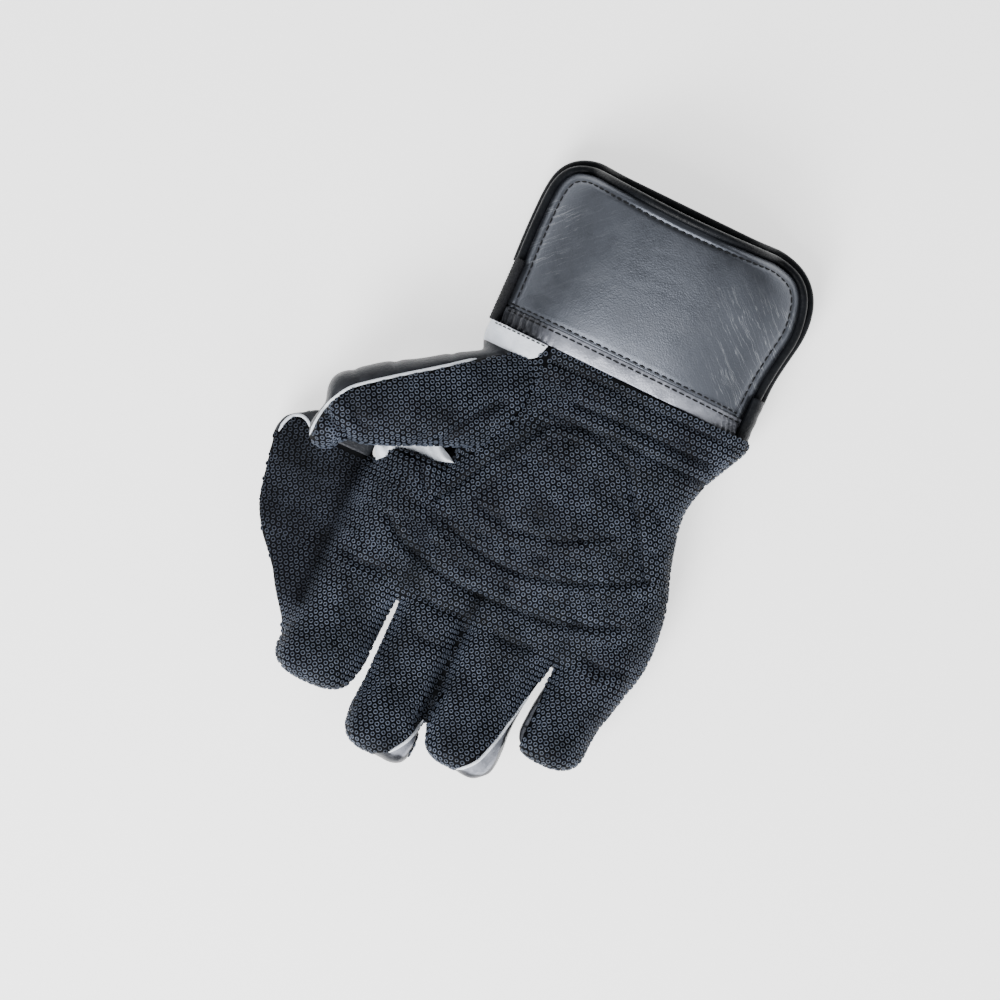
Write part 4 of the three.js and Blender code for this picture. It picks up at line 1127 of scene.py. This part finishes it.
def ringPiece(name, places, normals, worn):
    sides = rings["sides"]
    turn = 2 * np.pi * np.arange(sides) / sides
    across1 = np.cross(normals, [0.0, 1.0, 0.0])
    across1 /= np.linalg.norm(across1, axis=1)[:, None]
    across2 = np.cross(normals, across1)
    size = 1 + rings["jitter"] * rng.standard_normal(len(places))
    blocks, tones = [], []
    for (radius, height), tone in zip(rings["profile"], rings["crown"]):
        around = across1[:, None] * np.cos(turn)[None, :, None] + across2[:, None] * np.sin(turn)[None, :, None]
        blocks.append(places[:, None] + around * (radius * size)[:, None, None] + (normals * height)[:, None])
        # worn holds the crowns' wear together with the painted shade in the folds and the webbing
        tones.append(np.broadcast_to(tone * worn[:, None], (len(places), sides)))
    for height in (-0.1, -0.3):
        blocks.append((places + normals * height)[:, None])
        tones.append(np.zeros((len(places), 1)))
    points = np.concatenate(blocks, 1)
    tone = np.concatenate(tones, 1).ravel()
    loops = len(rings["profile"])
    one = []
    for r in range(loops - 1):
        for i in range(sides):
            j = (i + 1) % sides
            one.append((r * sides + i, r * sides + j, (r + 1) * sides + j, (r + 1) * sides + i))
    top, bottom = loops * sides, loops * sides + 1
    inner = (loops - 1) * sides
    fans = [(inner + i, inner + (i + 1) % sides, top) for i in range(sides)]
    fans += [((i + 1) % sides, i, bottom) for i in range(sides)]
    starts = np.arange(len(places)) * points.shape[1]
    faces = (np.array(one)[None] + starts[:, None, None]).reshape(-1, 4).tolist()
    faces += (np.array(fans)[None] + starts[:, None, None]).reshape(-1, 3).tolist()
    print(f"  {name}: {len(places)} rings")
    return putPiece(name, points.reshape(-1, 3), faces, "pimpled_rubber", tone=tone)


def straight(a, v):
    return a, v


def turned(a, v):
    spot = thumbRoot + thumbWay * v + thumbSide * a
    return spot[0], spot[1]


palmTree, palmBorder = surfaceTree(facing)
thumbTree, thumbBorder = surfaceTree(thumbFacing)
# the palm's rows run from the wrist to the finger roots; rings beyond webCorner are the webbing's
trunk = {"rows": (62.0, -71.0), "span": (-118.0, 92.0), "anchor": 16.8}
webCorner = (-62, -5)
trunkSpots, trunkRows, lastRow = latticeOn(palmTree, straight, trunk["rows"], trunk["span"], lambda v: trunk["anchor"])
palmSpots = [p for p in trunkSpots if p[0] > webCorner[0] or p[1] > webCorner[1]]
webSpots = [p for p in trunkSpots if p[0] <= webCorner[0] and p[1] <= webCorner[1]]


def fingerCentre(rows):
    table = np.array(rows)[::-1]
    return lambda v: across(np.interp(v / glove["handLength"], table[:, 0], (table[:, 1] + table[:, 2]) / 2))


fingerSpans = {"index": (-112.0, -32.3), "middle": (-32.1, -0.1), "ring": (0.1, 45.0), "little": (38.0, 92.0)}
fingerSpots = []
for finger, span in fingerSpans.items():
    tip = along(handRows[finger][-1][0] - limbCaps[finger]) - 1.0
    centre = fingerCentre(handRows[finger])
    spots, _, _ = latticeOn(palmTree, straight, (lastRow - rowStep, tip), span, centre, trunkRows)
    if finger == "ring":
        spots = [p for p in spots if p[0] < ringLittleX(p[1], 44.2, 0.09)]
    if finger == "little":
        spots = [p for p in spots if p[0] > ringLittleX(p[1], 44.2, 0.09)]
    fingerSpots += spots
thumbLattice = {"rows": (-22.4, across(thumbRows[-1][0]) + 19.0), "span": (-32.0, 36.0)}
thumbSpots, _, _ = latticeOn(thumbTree, turned, thumbLattice["rows"], thumbLattice["span"], lambda v: 0.0)


def wearAndShadeShare(places, folds, webbing=0.0):
    # crowns are worn pale on the ridges; painted shade keeps them dark in the folds and in the webbing
    deep = relief(places, folds)
    web = smoothstep(-places[:, 0], 60, 74) * smoothstep(-places[:, 1], 0, 12) * smoothstep(places[:, 1], -104, -88)
    share = (1 + 0.34 * deep + 0.35 * softNoise(places, 14.0, 21.0)) * (1 - webbing * web)
    return np.clip(share, 0.1, 1.2)


laid = [ringPlaces(palmTree, palmBorder, spots) for spots in (palmSpots, webSpots, fingerSpots)]
laid.append(sidePlaces(facing, palmBorder, np.vstack([places for places, _ in laid])))
for name, (places, normals) in zip(("palmRings", "webRings", "fingerRings", "sideRings"), laid):
    ringPiece(name, places, normals, wearAndShadeShare(places, palmFolds, 0.5))
places, normals = ringPlaces(thumbTree, thumbBorder, thumbSpots)
morePlaces, moreNormals = sidePlaces(thumbFacing, thumbBorder, places)
places, normals = np.vstack([places, morePlaces]), np.vstack([normals, moreNormals])
ringPiece("thumbRings", places, normals, wearAndShadeShare(places, thumbFolds))
print("rings laid")


# cuff
cuff = {
    "gap": 0.3, "frontEdge": 24.0, "rise": 27.0, "backEdge": 16.0, "drop": 25.0, "frontDip": 0.045,
    "padThick": 7.0, "padEdge": 3.4, "bandThick": 2.4, "pipe": 2.0, "stitchIn": 4.0,
    "leftStripTop": 0.34, "rightStripTop": 0.22, "leftEdge": -0.329, "rightEdge": 0.594,
    "stripThick": 1.8, "leftReach": 4.9, "rightReach": 6.6, "tuck": 0.9,
}
# outlines of the panels: share up the cuff, left and right edge as shares of its width
frontRows = [
    (0.1, -0.327, 0.592), (0.3, -0.327, 0.596), (0.48, -0.33, 0.612), (0.62, -0.33, 0.627), (0.76, -0.327, 0.616),
    (0.845, -0.315, 0.594), (0.905, -0.285, 0.552), (0.935, -0.227, 0.478),
]
backRows = [
    (0.004, -0.327, 0.612), (0.3, -0.331, 0.605), (0.48, -0.335, 0.62), (0.65, -0.335, 0.639),
    (0.785, -0.331, 0.63), (0.875, -0.316, 0.6), (0.935, -0.277, 0.549), (0.963, -0.223, 0.477),
]
bandRows = [(0.0, -0.327, 0.6), (0.0985, -0.327, 0.592)]


def cuffSpot(share, left, right, u, dip):
    # plan point of a panel between its two edges; dip is the sag of its top edge
    x = glove["cuffWidth"] * ((left + right) / 2 + (right - left) / 2 * u)
    return x, wristY(x) + cuff["gap"] + glove["cuffLength"] * (share - dip * share**4 * (1 - u * u))


def cuffGrid(rows, rowCount, columnCount, dip):
    # plan points of a panel, with u across it from -1 to 1 and its share up the cuff
    dense = throughRows(rows, 120) if len(rows) > 2 else np.array(rows)
    share = np.linspace(rows[0][0], rows[-1][0], rowCount)
    left = np.interp(share, dense[:, 0], dense[:, 1])
    right = np.interp(share, dense[:, 0], dense[:, 2])
    u = -np.cos(np.pi * np.linspace(0, 1, columnCount))
    u = 0.5 * u + 0.5 * np.linspace(-1, 1, columnCount)
    x, y = cuffSpot(share[:, None], left[:, None], right[:, None], u, dip)
    return x, y, np.broadcast_to(u, x.shape), np.broadcast_to(share[:, None], x.shape)


def frontHeight(u, share):
    return cuff["frontEdge"] + cuff["rise"] * (0.72 + 0.28 * share) * (1 - np.abs(u) ** 3)


def backHeight(u):
    return np.maximum(0.0, cuff["backEdge"] - cuff["drop"] * (1 - np.abs(u) ** 3))


def padWall(u, filled=1.0):
    # thickness of a panel, least at its edges
    return cuff["padEdge"] + (cuff["padThick"] - cuff["padEdge"]) * (1 - np.abs(u) ** 4) * filled


def gridBorder(x, y, sides="ltr"):
    # plan line of the named edges: left, top, right and bottom
    xy = np.stack([x, y], -1)
    edges = {"l": xy[:, 0], "t": xy[-1], "r": xy[::-1, -1], "b": xy[0, ::-1]}
    return np.vstack([edges[side] for side in sides])


def thinned(line, step=2.0):
    keep = np.r_[True, np.linalg.norm(np.diff(line, axis=0), axis=1) > 1e-6]
    return evenPath(line[keep], step)


def borderDistance(x, y, sides):
    xy = np.stack([x.ravel(), y.ravel()], 1)
    return lineDistance(xy, thinned(gridBorder(x, y, sides))).reshape(x.shape)


def puffed(upper, lower, pressure, cap):
    # air pressure between two sewn sheets, held at the border; gives the upper sheet's moves
    points, faces = slab(upper, lower)
    obj = newObject("puff", points, faces, smooth=False)
    rows, columns = upper.shape[:2]
    at = np.arange(rows * columns).reshape(rows, columns)
    held = np.unique(np.concatenate([at[0], at[-1], at[:, 0], at[:, -1]]))
    group = obj.vertex_groups.new(name="held")
    group.add([int(i) for i in held] + [int(i) + rows * columns for i in held], 1.0, "REPLACE")
    cloth = obj.modifiers.new("puff", "CLOTH")
    settings = cloth.settings
    settings.quality = 5
    settings.mass = 0.3
    settings.tension_stiffness = 15
    settings.compression_stiffness = 15
    settings.shear_stiffness = 5
    settings.bending_stiffness = 0.6
    settings.use_pressure = True
    settings.uniform_pressure_force = pressure
    settings.vertex_group_mass = "held"
    settings.effector_weights.gravity = 0
    cloth.point_cache.frame_start = 1
    cloth.point_cache.frame_end = 20
    for f in range(1, 21):
        bpy.context.scene.frame_set(f)
    moved, _ = evaluated(obj)
    bpy.data.objects.remove(obj)
    bpy.context.scene.frame_set(1)
    moves = moved[: rows * columns] - upper.reshape(-1, 3)
    size = np.linalg.norm(moves, axis=1)[:, None]
    moves *= np.minimum(1, cap / np.maximum(size, 1e-9))
    return moves.reshape(rows, columns, 3)


def finer(grid, rowCount, columnCount):
    rows = throughRows(grid.reshape(len(grid), -1), rowCount).reshape(rowCount, grid.shape[1], 3)
    turnedGrid = rows.transpose(1, 0, 2).reshape(grid.shape[1], -1)
    return throughRows(turnedGrid, columnCount).reshape(columnCount, rowCount, 3).transpose(1, 0, 2)


threadBend = 0.12 + np.array([-0.45, 0.05, 0.16, 0.16, 0.05, -0.45])


def stitchRun(path, length=2.7, gap=0.95, radius=0.36):
    # short bent threads along a path that lies on the surface
    path = evenPath(path, 0.45)
    run = runLength(path)
    parts = []
    at = gap
    while at + length < run[-1]:
        s = np.linspace(at, at + length, len(threadBend))
        p = np.stack([np.interp(s, run, path[:, k]) for k in range(3)], 1)
        p[:, 2] += threadBend
        parts.append(tube(p, radius, 6))
        at += length + gap
    return parts


frontPadLook = {
    "rows": 110, "columns": 170, "creaseShare": 0.08, "simRows": 24, "simColumns": 36, "pressure": 4.0, "cap": 2.2,
    "grooves": [
        (0.55, 0.8, [(62, 113), (66, 108), (71, 105), (76, 104)]),
        (0.6, 0.9, [(57, 103), (63, 98), (70, 95), (78, 94)]),
        (0.6, 0.9, [(60, 96), (66, 91), (73, 88), (79, 88)]), (0.5, 0.8, [(66, 118), (70, 113), (74, 109)]),
        (0.5, 0.9, [(52, 96), (60, 89), (66, 85), (72, 83)]), (0.4, 0.8, [(46, 90), (52, 84), (58, 80), (66, 77)]),
        (0.35, 0.8, [(40, 86), (46, 79), (52, 74)]), (0.45, 0.7, [(-41, 116), (-37, 113), (-35, 108)]),
        (0.45, 0.7, [(-42, 106), (-38, 103), (-34, 98)]), (0.45, 0.7, [(-42, 96), (-38, 94), (-34, 90)]),
        (0.3, 0.7, [(-28, 90), (-25, 92), (-22, 95)]), (0.3, 1.2, [(0, 118), (10, 116), (20, 118)]),
        (0.3, 1.4, [(-5, 100), (8, 98), (20, 101), (30, 99)]), (0.3, 1.4, [(5, 108), (18, 106), (28, 109)]),
        (0.4, 0.8, [(58, 126), (64, 122), (70, 118)]),
    ],
}


def plumpness(x, y):
    # rise of a filled panel over its flat sheet, with dents at the edges and at the seam below
    side = borderDistance(x, y, "ltr")
    low = y - y[:1]
    plump = 2.4 * (1 - np.exp(-borderDistance(x, y, "ltrb") / 9)) - 0.9 * np.exp(-((side / 1.6) ** 2))
    return plump - 0.5 * np.exp(-(((low - 1.5) / 0.9) ** 2))


def frontPad():
    look = frontPadLook
    x, y, u, share = cuffGrid(frontRows, look["rows"], look["columns"], cuff["frontDip"])
    upper = frontHeight(u, share) + plumpness(x, y)
    xs, ys, us, ss = cuffGrid(frontRows, look["simRows"], look["simColumns"], cuff["frontDip"])
    top = frontHeight(us, ss) + plumpness(xs, ys)
    sheets = [np.stack([xs, ys, height], -1) for height in (top, top - padWall(us))]
    moves = finer(puffed(*sheets, look["pressure"], look["cap"]), look["rows"], look["columns"])
    spots = np.stack([x, y, upper], -1) + moves
    edge = borderDistance(x, y, "ltrb")
    sideEdge = lineDistance(spots[..., :2].reshape(-1, 2), thinned(gridBorder(x, y))).reshape(x.shape)
    spots[..., 2] -= 0.9 * np.exp(-(((sideEdge - cuff["stitchIn"]) / 0.9) ** 2))
    flatPoints = spots.reshape(-1, 3)
    spots[..., 2] += (relief(flatPoints, look) * look["creaseShare"]).reshape(x.shape)
    uneven = 0.3 * softNoise(flatPoints, 26.0, 6.0) + 0.02 * softNoise(flatPoints, 6.0, 7.0)
    spots[..., 2] += uneven.reshape(x.shape) * smoothstep(edge, 1.0, 6.0)
    lower = np.stack([x, y, frontHeight(u, share) - padWall(u, smoothstep(edge, 0, 8))], -1)
    points, faces = slab(spots, lower)
    # fine light creases at the right and at the upper left
    right = smoothstep(x + 0.35 * y, 74, 96) * smoothstep(-y, -122, -108)
    left = smoothstep(-x, 20, 36) * smoothstep(y, 84, 92) * smoothstep(-y, -124, -116)
    hair = np.clip(0.08 + 0.6 * right + 0.45 * left, 0, 1).ravel()
    tone = np.concatenate([hair, np.zeros(len(hair))])
    pad = putPiece("cuffFrontPad", points, faces, "silver_leather", ["cuff_front_pad"], tone)
    return spots


def gridTree(grid):
    return treeOf(grid.reshape(-1, 3), gridFaces(*grid.shape[:2]))


padTop = frontPad()
print("front pad puffed")
padTree = gridTree(padTop)


def onTree(tree, line, lift=0.0):
    points = []
    for x, y in line:
        place, _ = dropOn(tree, x, y)
        if place is not None:
            points.append((place.x, place.y, place.z + lift))
    return np.array(points)


def insetLine(line, amount):
    # plan line moved to the inside of a left-top-right border
    run = eased(unitRun(line), 6)
    inward = np.stack([run[:, 1], -run[:, 0]], 1)
    return line + inward * amount


padBorder = thinned(gridBorder(padTop[..., 0], padTop[..., 1]), 1.0)
stitchLine = eased(insetLine(padBorder, cuff["stitchIn"]), 24)
threads = stitchRun(onTree(padTree, stitchLine[4:-4]))
# stitches over and under the seam between pad and band: its ends, its share up the cuff, ways from it
seamStitches = {"ends": (-41, 75.5), "share": 0.1, "over": 1.5, "under": -1.9}
lowX = np.linspace(*seamStitches["ends"], 90)
lowRow = np.stack([lowX, wristY(lowX) + cuff["gap"] + seamStitches["share"] * glove["cuffLength"]], 1)
threads += stitchRun(onTree(padTree, lowRow + [0, seamStitches["over"]], -0.1))

# the band is gathered and dark at both ends: from where to where, and how dark
band = {"leftGather": (14, 24), "rightGather": (62, 72), "leftDark": (10, 26), "leftTone": 0.93, "rightTone": 0.6}


def frontBand():
    x, y, u, share = cuffGrid(bandRows, 16, 200, 0.0)
    base = frontHeight(u, share) + 0.05
    top = base + 0.35 * np.sin(np.pi * (share - share.min()) / (share.max() - share.min()))
    gather = smoothstep(-x, *band["leftGather"])
    top += gather * 0.55 * np.sin(x * 2.1 + 0.6 * np.sin(y * 0.9)) + gather * 0.3 * np.sin(x * 4.7 + y * 0.5)
    rightGather = smoothstep(x, *band["rightGather"])
    top += rightGather * (0.4 * np.sin(x * 2.4 + y * 0.8) + 0.25 * np.sin(y * 2.0))
    flatPoints = np.stack([x, y, top], -1).reshape(-1, 3)
    top += 0.4 * softNoise(flatPoints, 6.0, 8.0).reshape(x.shape)
    points, faces = slab(np.stack([x, y, top], -1), np.stack([x, y, base - cuff["bandThick"]], -1))
    dark = smoothstep(-x, *band["leftDark"]) * band["leftTone"] + rightGather * band["rightTone"]
    tone = np.tile(np.clip(dark, 0, 1).ravel(), 2)
    putPiece("cuffFrontBand", points, faces, "pale_silver_leather", ["cuff_front_band"], tone)
    return np.stack([x, y, top], -1)


threads += stitchRun(onTree(gridTree(frontBand()), lowRow + [0, seamStitches["under"]]))


def backPad():
    x, y, u, _ = cuffGrid(backRows, 70, 110, 0.0)
    base = backHeight(u)
    edge = borderDistance(x, y, "ltrb")
    top = base + padWall(u, smoothstep(edge, 0, 9))
    low = base + 0.8 * np.exp(-((edge / 2.0) ** 2)) + 0.6 * np.exp(-(((edge - cuff["stitchIn"]) / 1.0) ** 2))
    low += 0.5 * np.exp(-((np.mod(x + 8, 24.0) - 12) / 1.3) ** 2) * smoothstep(edge, 5, 8)
    points, faces = slab(np.stack([x, y, top], -1), np.stack([x, y, np.maximum(low, 0.0)], -1))
    pad = putPiece("cuffBackPad", points, faces, "black_leather", ["cuff_back_pad"])


backPad()


def rowAt(rows, share):
    table = throughRows(rows, 160)
    return np.array([share, np.interp(share, table[:, 0], table[:, 1]), np.interp(share, table[:, 0], table[:, 2])])


def pipingPath(rows, dip, heightOf, away):
    table = throughRows(rows, 60)

    def edge(row, u):
        return (*cuffSpot(*row, u, dip), heightOf(u, row[0]))

    def upFrom(stripTop, u):
        # edge of the panel above a side strip
        return [edge(rowAt(rows, stripTop), u)] + [edge(row, u) for row in table if row[0] > stripTop + 0.01]

    left, right = upFrom(cuff["leftStripTop"], -1), upFrom(cuff["rightStripTop"], 1)
    top = [edge(table[-1], u) for u in np.linspace(-0.97, 0.97, 60)]
    path = eased(evenPath(np.array(left + top + right[::-1]), 1.2), 14)
    run = unitRun(path[:, :2])
    path[:, :2] += np.stack([-run[:, 1], run[:, 0]], 1) * away
    return path


def pipeHeightFront(u, share):
    return float(frontHeight(u, share)) - cuff["padEdge"] / 2


def pipeHeightBack(u, _):
    return max(float(backHeight(np.array(u))) + cuff["padEdge"] / 2, cuff["pipe"] * 1.3)


# node, outline and sag of the panel, height of the cord, way from the panel's edge
pipings = {
    "cuffFrontPiping": ("cuff_front_piping", frontRows, cuff["frontDip"], pipeHeightFront, 1.7),
    "cuffBackPiping": ("cuff_back_piping", backRows, 0.0, pipeHeightBack, 2.45),
}
for name, (node, *shape) in pipings.items():
    path = pipingPath(*shape)
    points, faces = tube(path, cuff["pipe"], 14)
    points[:, 2] += 0.12 * softNoise(points, 7.0, 9.0)
    putPiece(name, points, faces, "black_leather", [node])


def sideStrip(name, node, side, way, slotName, ribs):
    # curved plate from the front edge to the back edge of the cuff, on its left or right side
    middle = (cuff["frontEdge"] + cuff["backEdge"]) / 2
    half = cuff["frontEdge"] - middle + cuff["padEdge"]
    share = np.linspace(0, cuff[side + "StripTop"] + 0.015, 60)[:, None]
    turn = np.linspace(-1, 1, 24)[None] * 0.42 * np.pi
    x0 = glove["cuffWidth"] * cuff[side + "Edge"]
    y = wristY(x0) + cuff["gap"] + share * glove["cuffLength"] + 0 * turn
    reach = cuff[side + "Reach"] * np.cos(turn) + 0 * share
    ribbed = 0.16 * np.sin(y * 2 * np.pi / 1.5) if ribs else 0.12 * np.sin(y * 0.9 + turn)
    outside = np.stack([x0 + way * (reach + ribbed - cuff["tuck"]), y, middle + half * np.sin(turn) + 0 * share], -1)
    inner = np.maximum(reach - cuff["stripThick"], 0)
    inside = np.stack([x0 + way * (inner - cuff["tuck"]), y, middle + half * np.sin(turn) * 0.86 + 0 * share], -1)
    points, faces = slab(outside, inside) if way > 0 else slab(outside[:, ::-1], inside[:, ::-1])
    putPiece(name, points, faces, slotName, [node])


sideStrip("thumbSideStrip", "thumb_side_strip", "left", -1, "elastic", True)
sideStrip("littleSideStrip", "little_side_strip", "right", 1, "black_leather", False)
print("cuff made")

# welts, tongue and threads
handTop = treeOf(handSkin, handTris)
thumbTop = treeOf(thumbSkin, thumbTris)
weltRadius = 0.75
welts = {
    "thumbWelt": ("thumb_welt", thumbTop, thumbWeltLine[1:]),
    "middleWelt": ("middle_welt", handTop, middleWallLine[1:-1]),
    "ringWelt": ("ring_welt", handTop, ringWallLine[1:]),
    "webWelt": ("web_welt", handTop, webWeltLine),
}
for name, (node, tree, line) in welts.items():
    path = eased(onTree(tree, thinned(throughRows(line, 60), 0.8)), 4)
    taper = np.minimum(1, np.minimum(np.arange(len(path)), np.arange(len(path))[::-1]) / 6 + 0.35)
    points, faces = tube(path, weltRadius * taper, 10)
    putPiece(name, points, faces, "white_leather", [node])

tongue = {
    "upper": [(-72, -11), (-64, -9), (-56, -3.5), (-47, -1), (-40, -3.4), (-34.6, -6.6)],
    "lower": [(-67, -20), (-64.5, -17.5), (-60, -13.6), (-52, -10.4), (-43, -9.4), (-34.6, -7.0)],
    "height": 31.0, "thick": 1.4,
}


def webTongue():
    top = throughRows(tongue["upper"], 60)
    bottom = throughRows(tongue["lower"], 60)
    way = np.linspace(0, 1, 18)[:, None, None]
    plan = top[None] * (1 - way) + bottom[None] * way
    z = tongue["height"] + 2.2 * np.sin(np.pi * way[..., 0]) * 0.6 + 0.35 * np.sin(plan[..., 0] * 0.9 + plan[..., 1])
    upper = np.concatenate([plan, z[..., None]], -1)
    lower = upper.copy()
    lower[..., 2] -= tongue["thick"]
    points, faces = slab(upper[::-1], lower[::-1])
    putPiece("webTongue", points, faces, "white_leather", ["web_tongue"])


webTongue()
# stitches along the wrist panel's top edge
panelStitches = {"ends": (-43.5, -17), "under": 0.9}
panelTop = np.array([(x, wristY(x) - panelStitches["under"]) for x in np.linspace(*panelStitches["ends"], 40)])
threads += stitchRun(onTree(thumbTop, panelTop), length=1.7, gap=0.8, radius=0.28)
points, faces = joinParts(threads)
putPiece("cuffThreads", points, faces, "black_leather", look="thread")
print("welts, tongue and threads made")

# floor, light and camera
view = {
    "centre": (5.05, -15.0), "turn": 24.0, "distance": 3.0, "width": 0.45, "height": 0.035, "sensor": 36.0,
}
# azimuth, elevation, distance, size, energy
lamps = {
    "key": (262, 40, 1.5, 0.7, 36.0), "sheen": (262, 64, 1.6, 0.5, 12.0), "second": (150, 42, 1.5, 0.8, 4.0),
    "fill": (-20, 40, 1.6, 1.2, 9.0),
}
light = {"world": 0.3, "floorGlow": 1.3}
floorMesh = bpy.data.meshes.new("floor")
floorMesh.from_pydata([(-4, -4, -0.0003), (4, -4, -0.0003), (4, 4, -0.0003), (-4, 4, -0.0003)], [], [(0, 1, 2, 3)])
floor = bpy.data.objects.new("floor", floorMesh)
bpy.context.scene.collection.objects.link(floor)
floorMaterial, _, _, floorShader = startMaterial("floor")
floorShader.inputs["Base Color"].default_value = (0.9, 0.9, 0.9, 1)
floorShader.inputs["Roughness"].default_value = 0.9
floorShader.inputs["Emission Color"].default_value = (1, 1, 1, 1)
floorShader.inputs["Emission Strength"].default_value = light["floorGlow"]
floorMesh.materials.append(floorMaterial)


def areaLight(name, azimuth, elevation, distance, size, energy):
    data = bpy.data.lights.new(name, "AREA")
    data.shape = "SQUARE"
    data.size = size
    data.energy = energy
    obj = bpy.data.objects.new(name, data)
    a, e = math.radians(azimuth), math.radians(elevation)
    way = Vector((math.cos(a) * math.cos(e), math.sin(a) * math.cos(e), math.sin(e)))
    obj.location = way * distance
    obj.rotation_euler = (-way).to_track_quat("-Z", "Y").to_euler()
    bpy.context.scene.collection.objects.link(obj)


for name, lamp in lamps.items():
    areaLight(name, *lamp)
world = bpy.data.worlds.new("studio")
world.use_nodes = True
world.node_tree.nodes["Background"].inputs["Color"].default_value = (1, 1, 1, 1)
world.node_tree.nodes["Background"].inputs["Strength"].default_value = light["world"]
bpy.context.scene.world = world

cameraData = bpy.data.cameras.new("camera")
cameraData.sensor_width = view["sensor"]
cameraData.lens = view["sensor"] * view["distance"] / view["width"]
camera = bpy.data.objects.new("camera", cameraData)
camera.location = (view["centre"][0] * mm, view["centre"][1] * mm, view["distance"] + view["height"])
camera.rotation_euler = (0, 0, math.radians(view["turn"]))
bpy.context.scene.collection.objects.link(camera)
bpy.context.scene.camera = camera

print("scene ready")
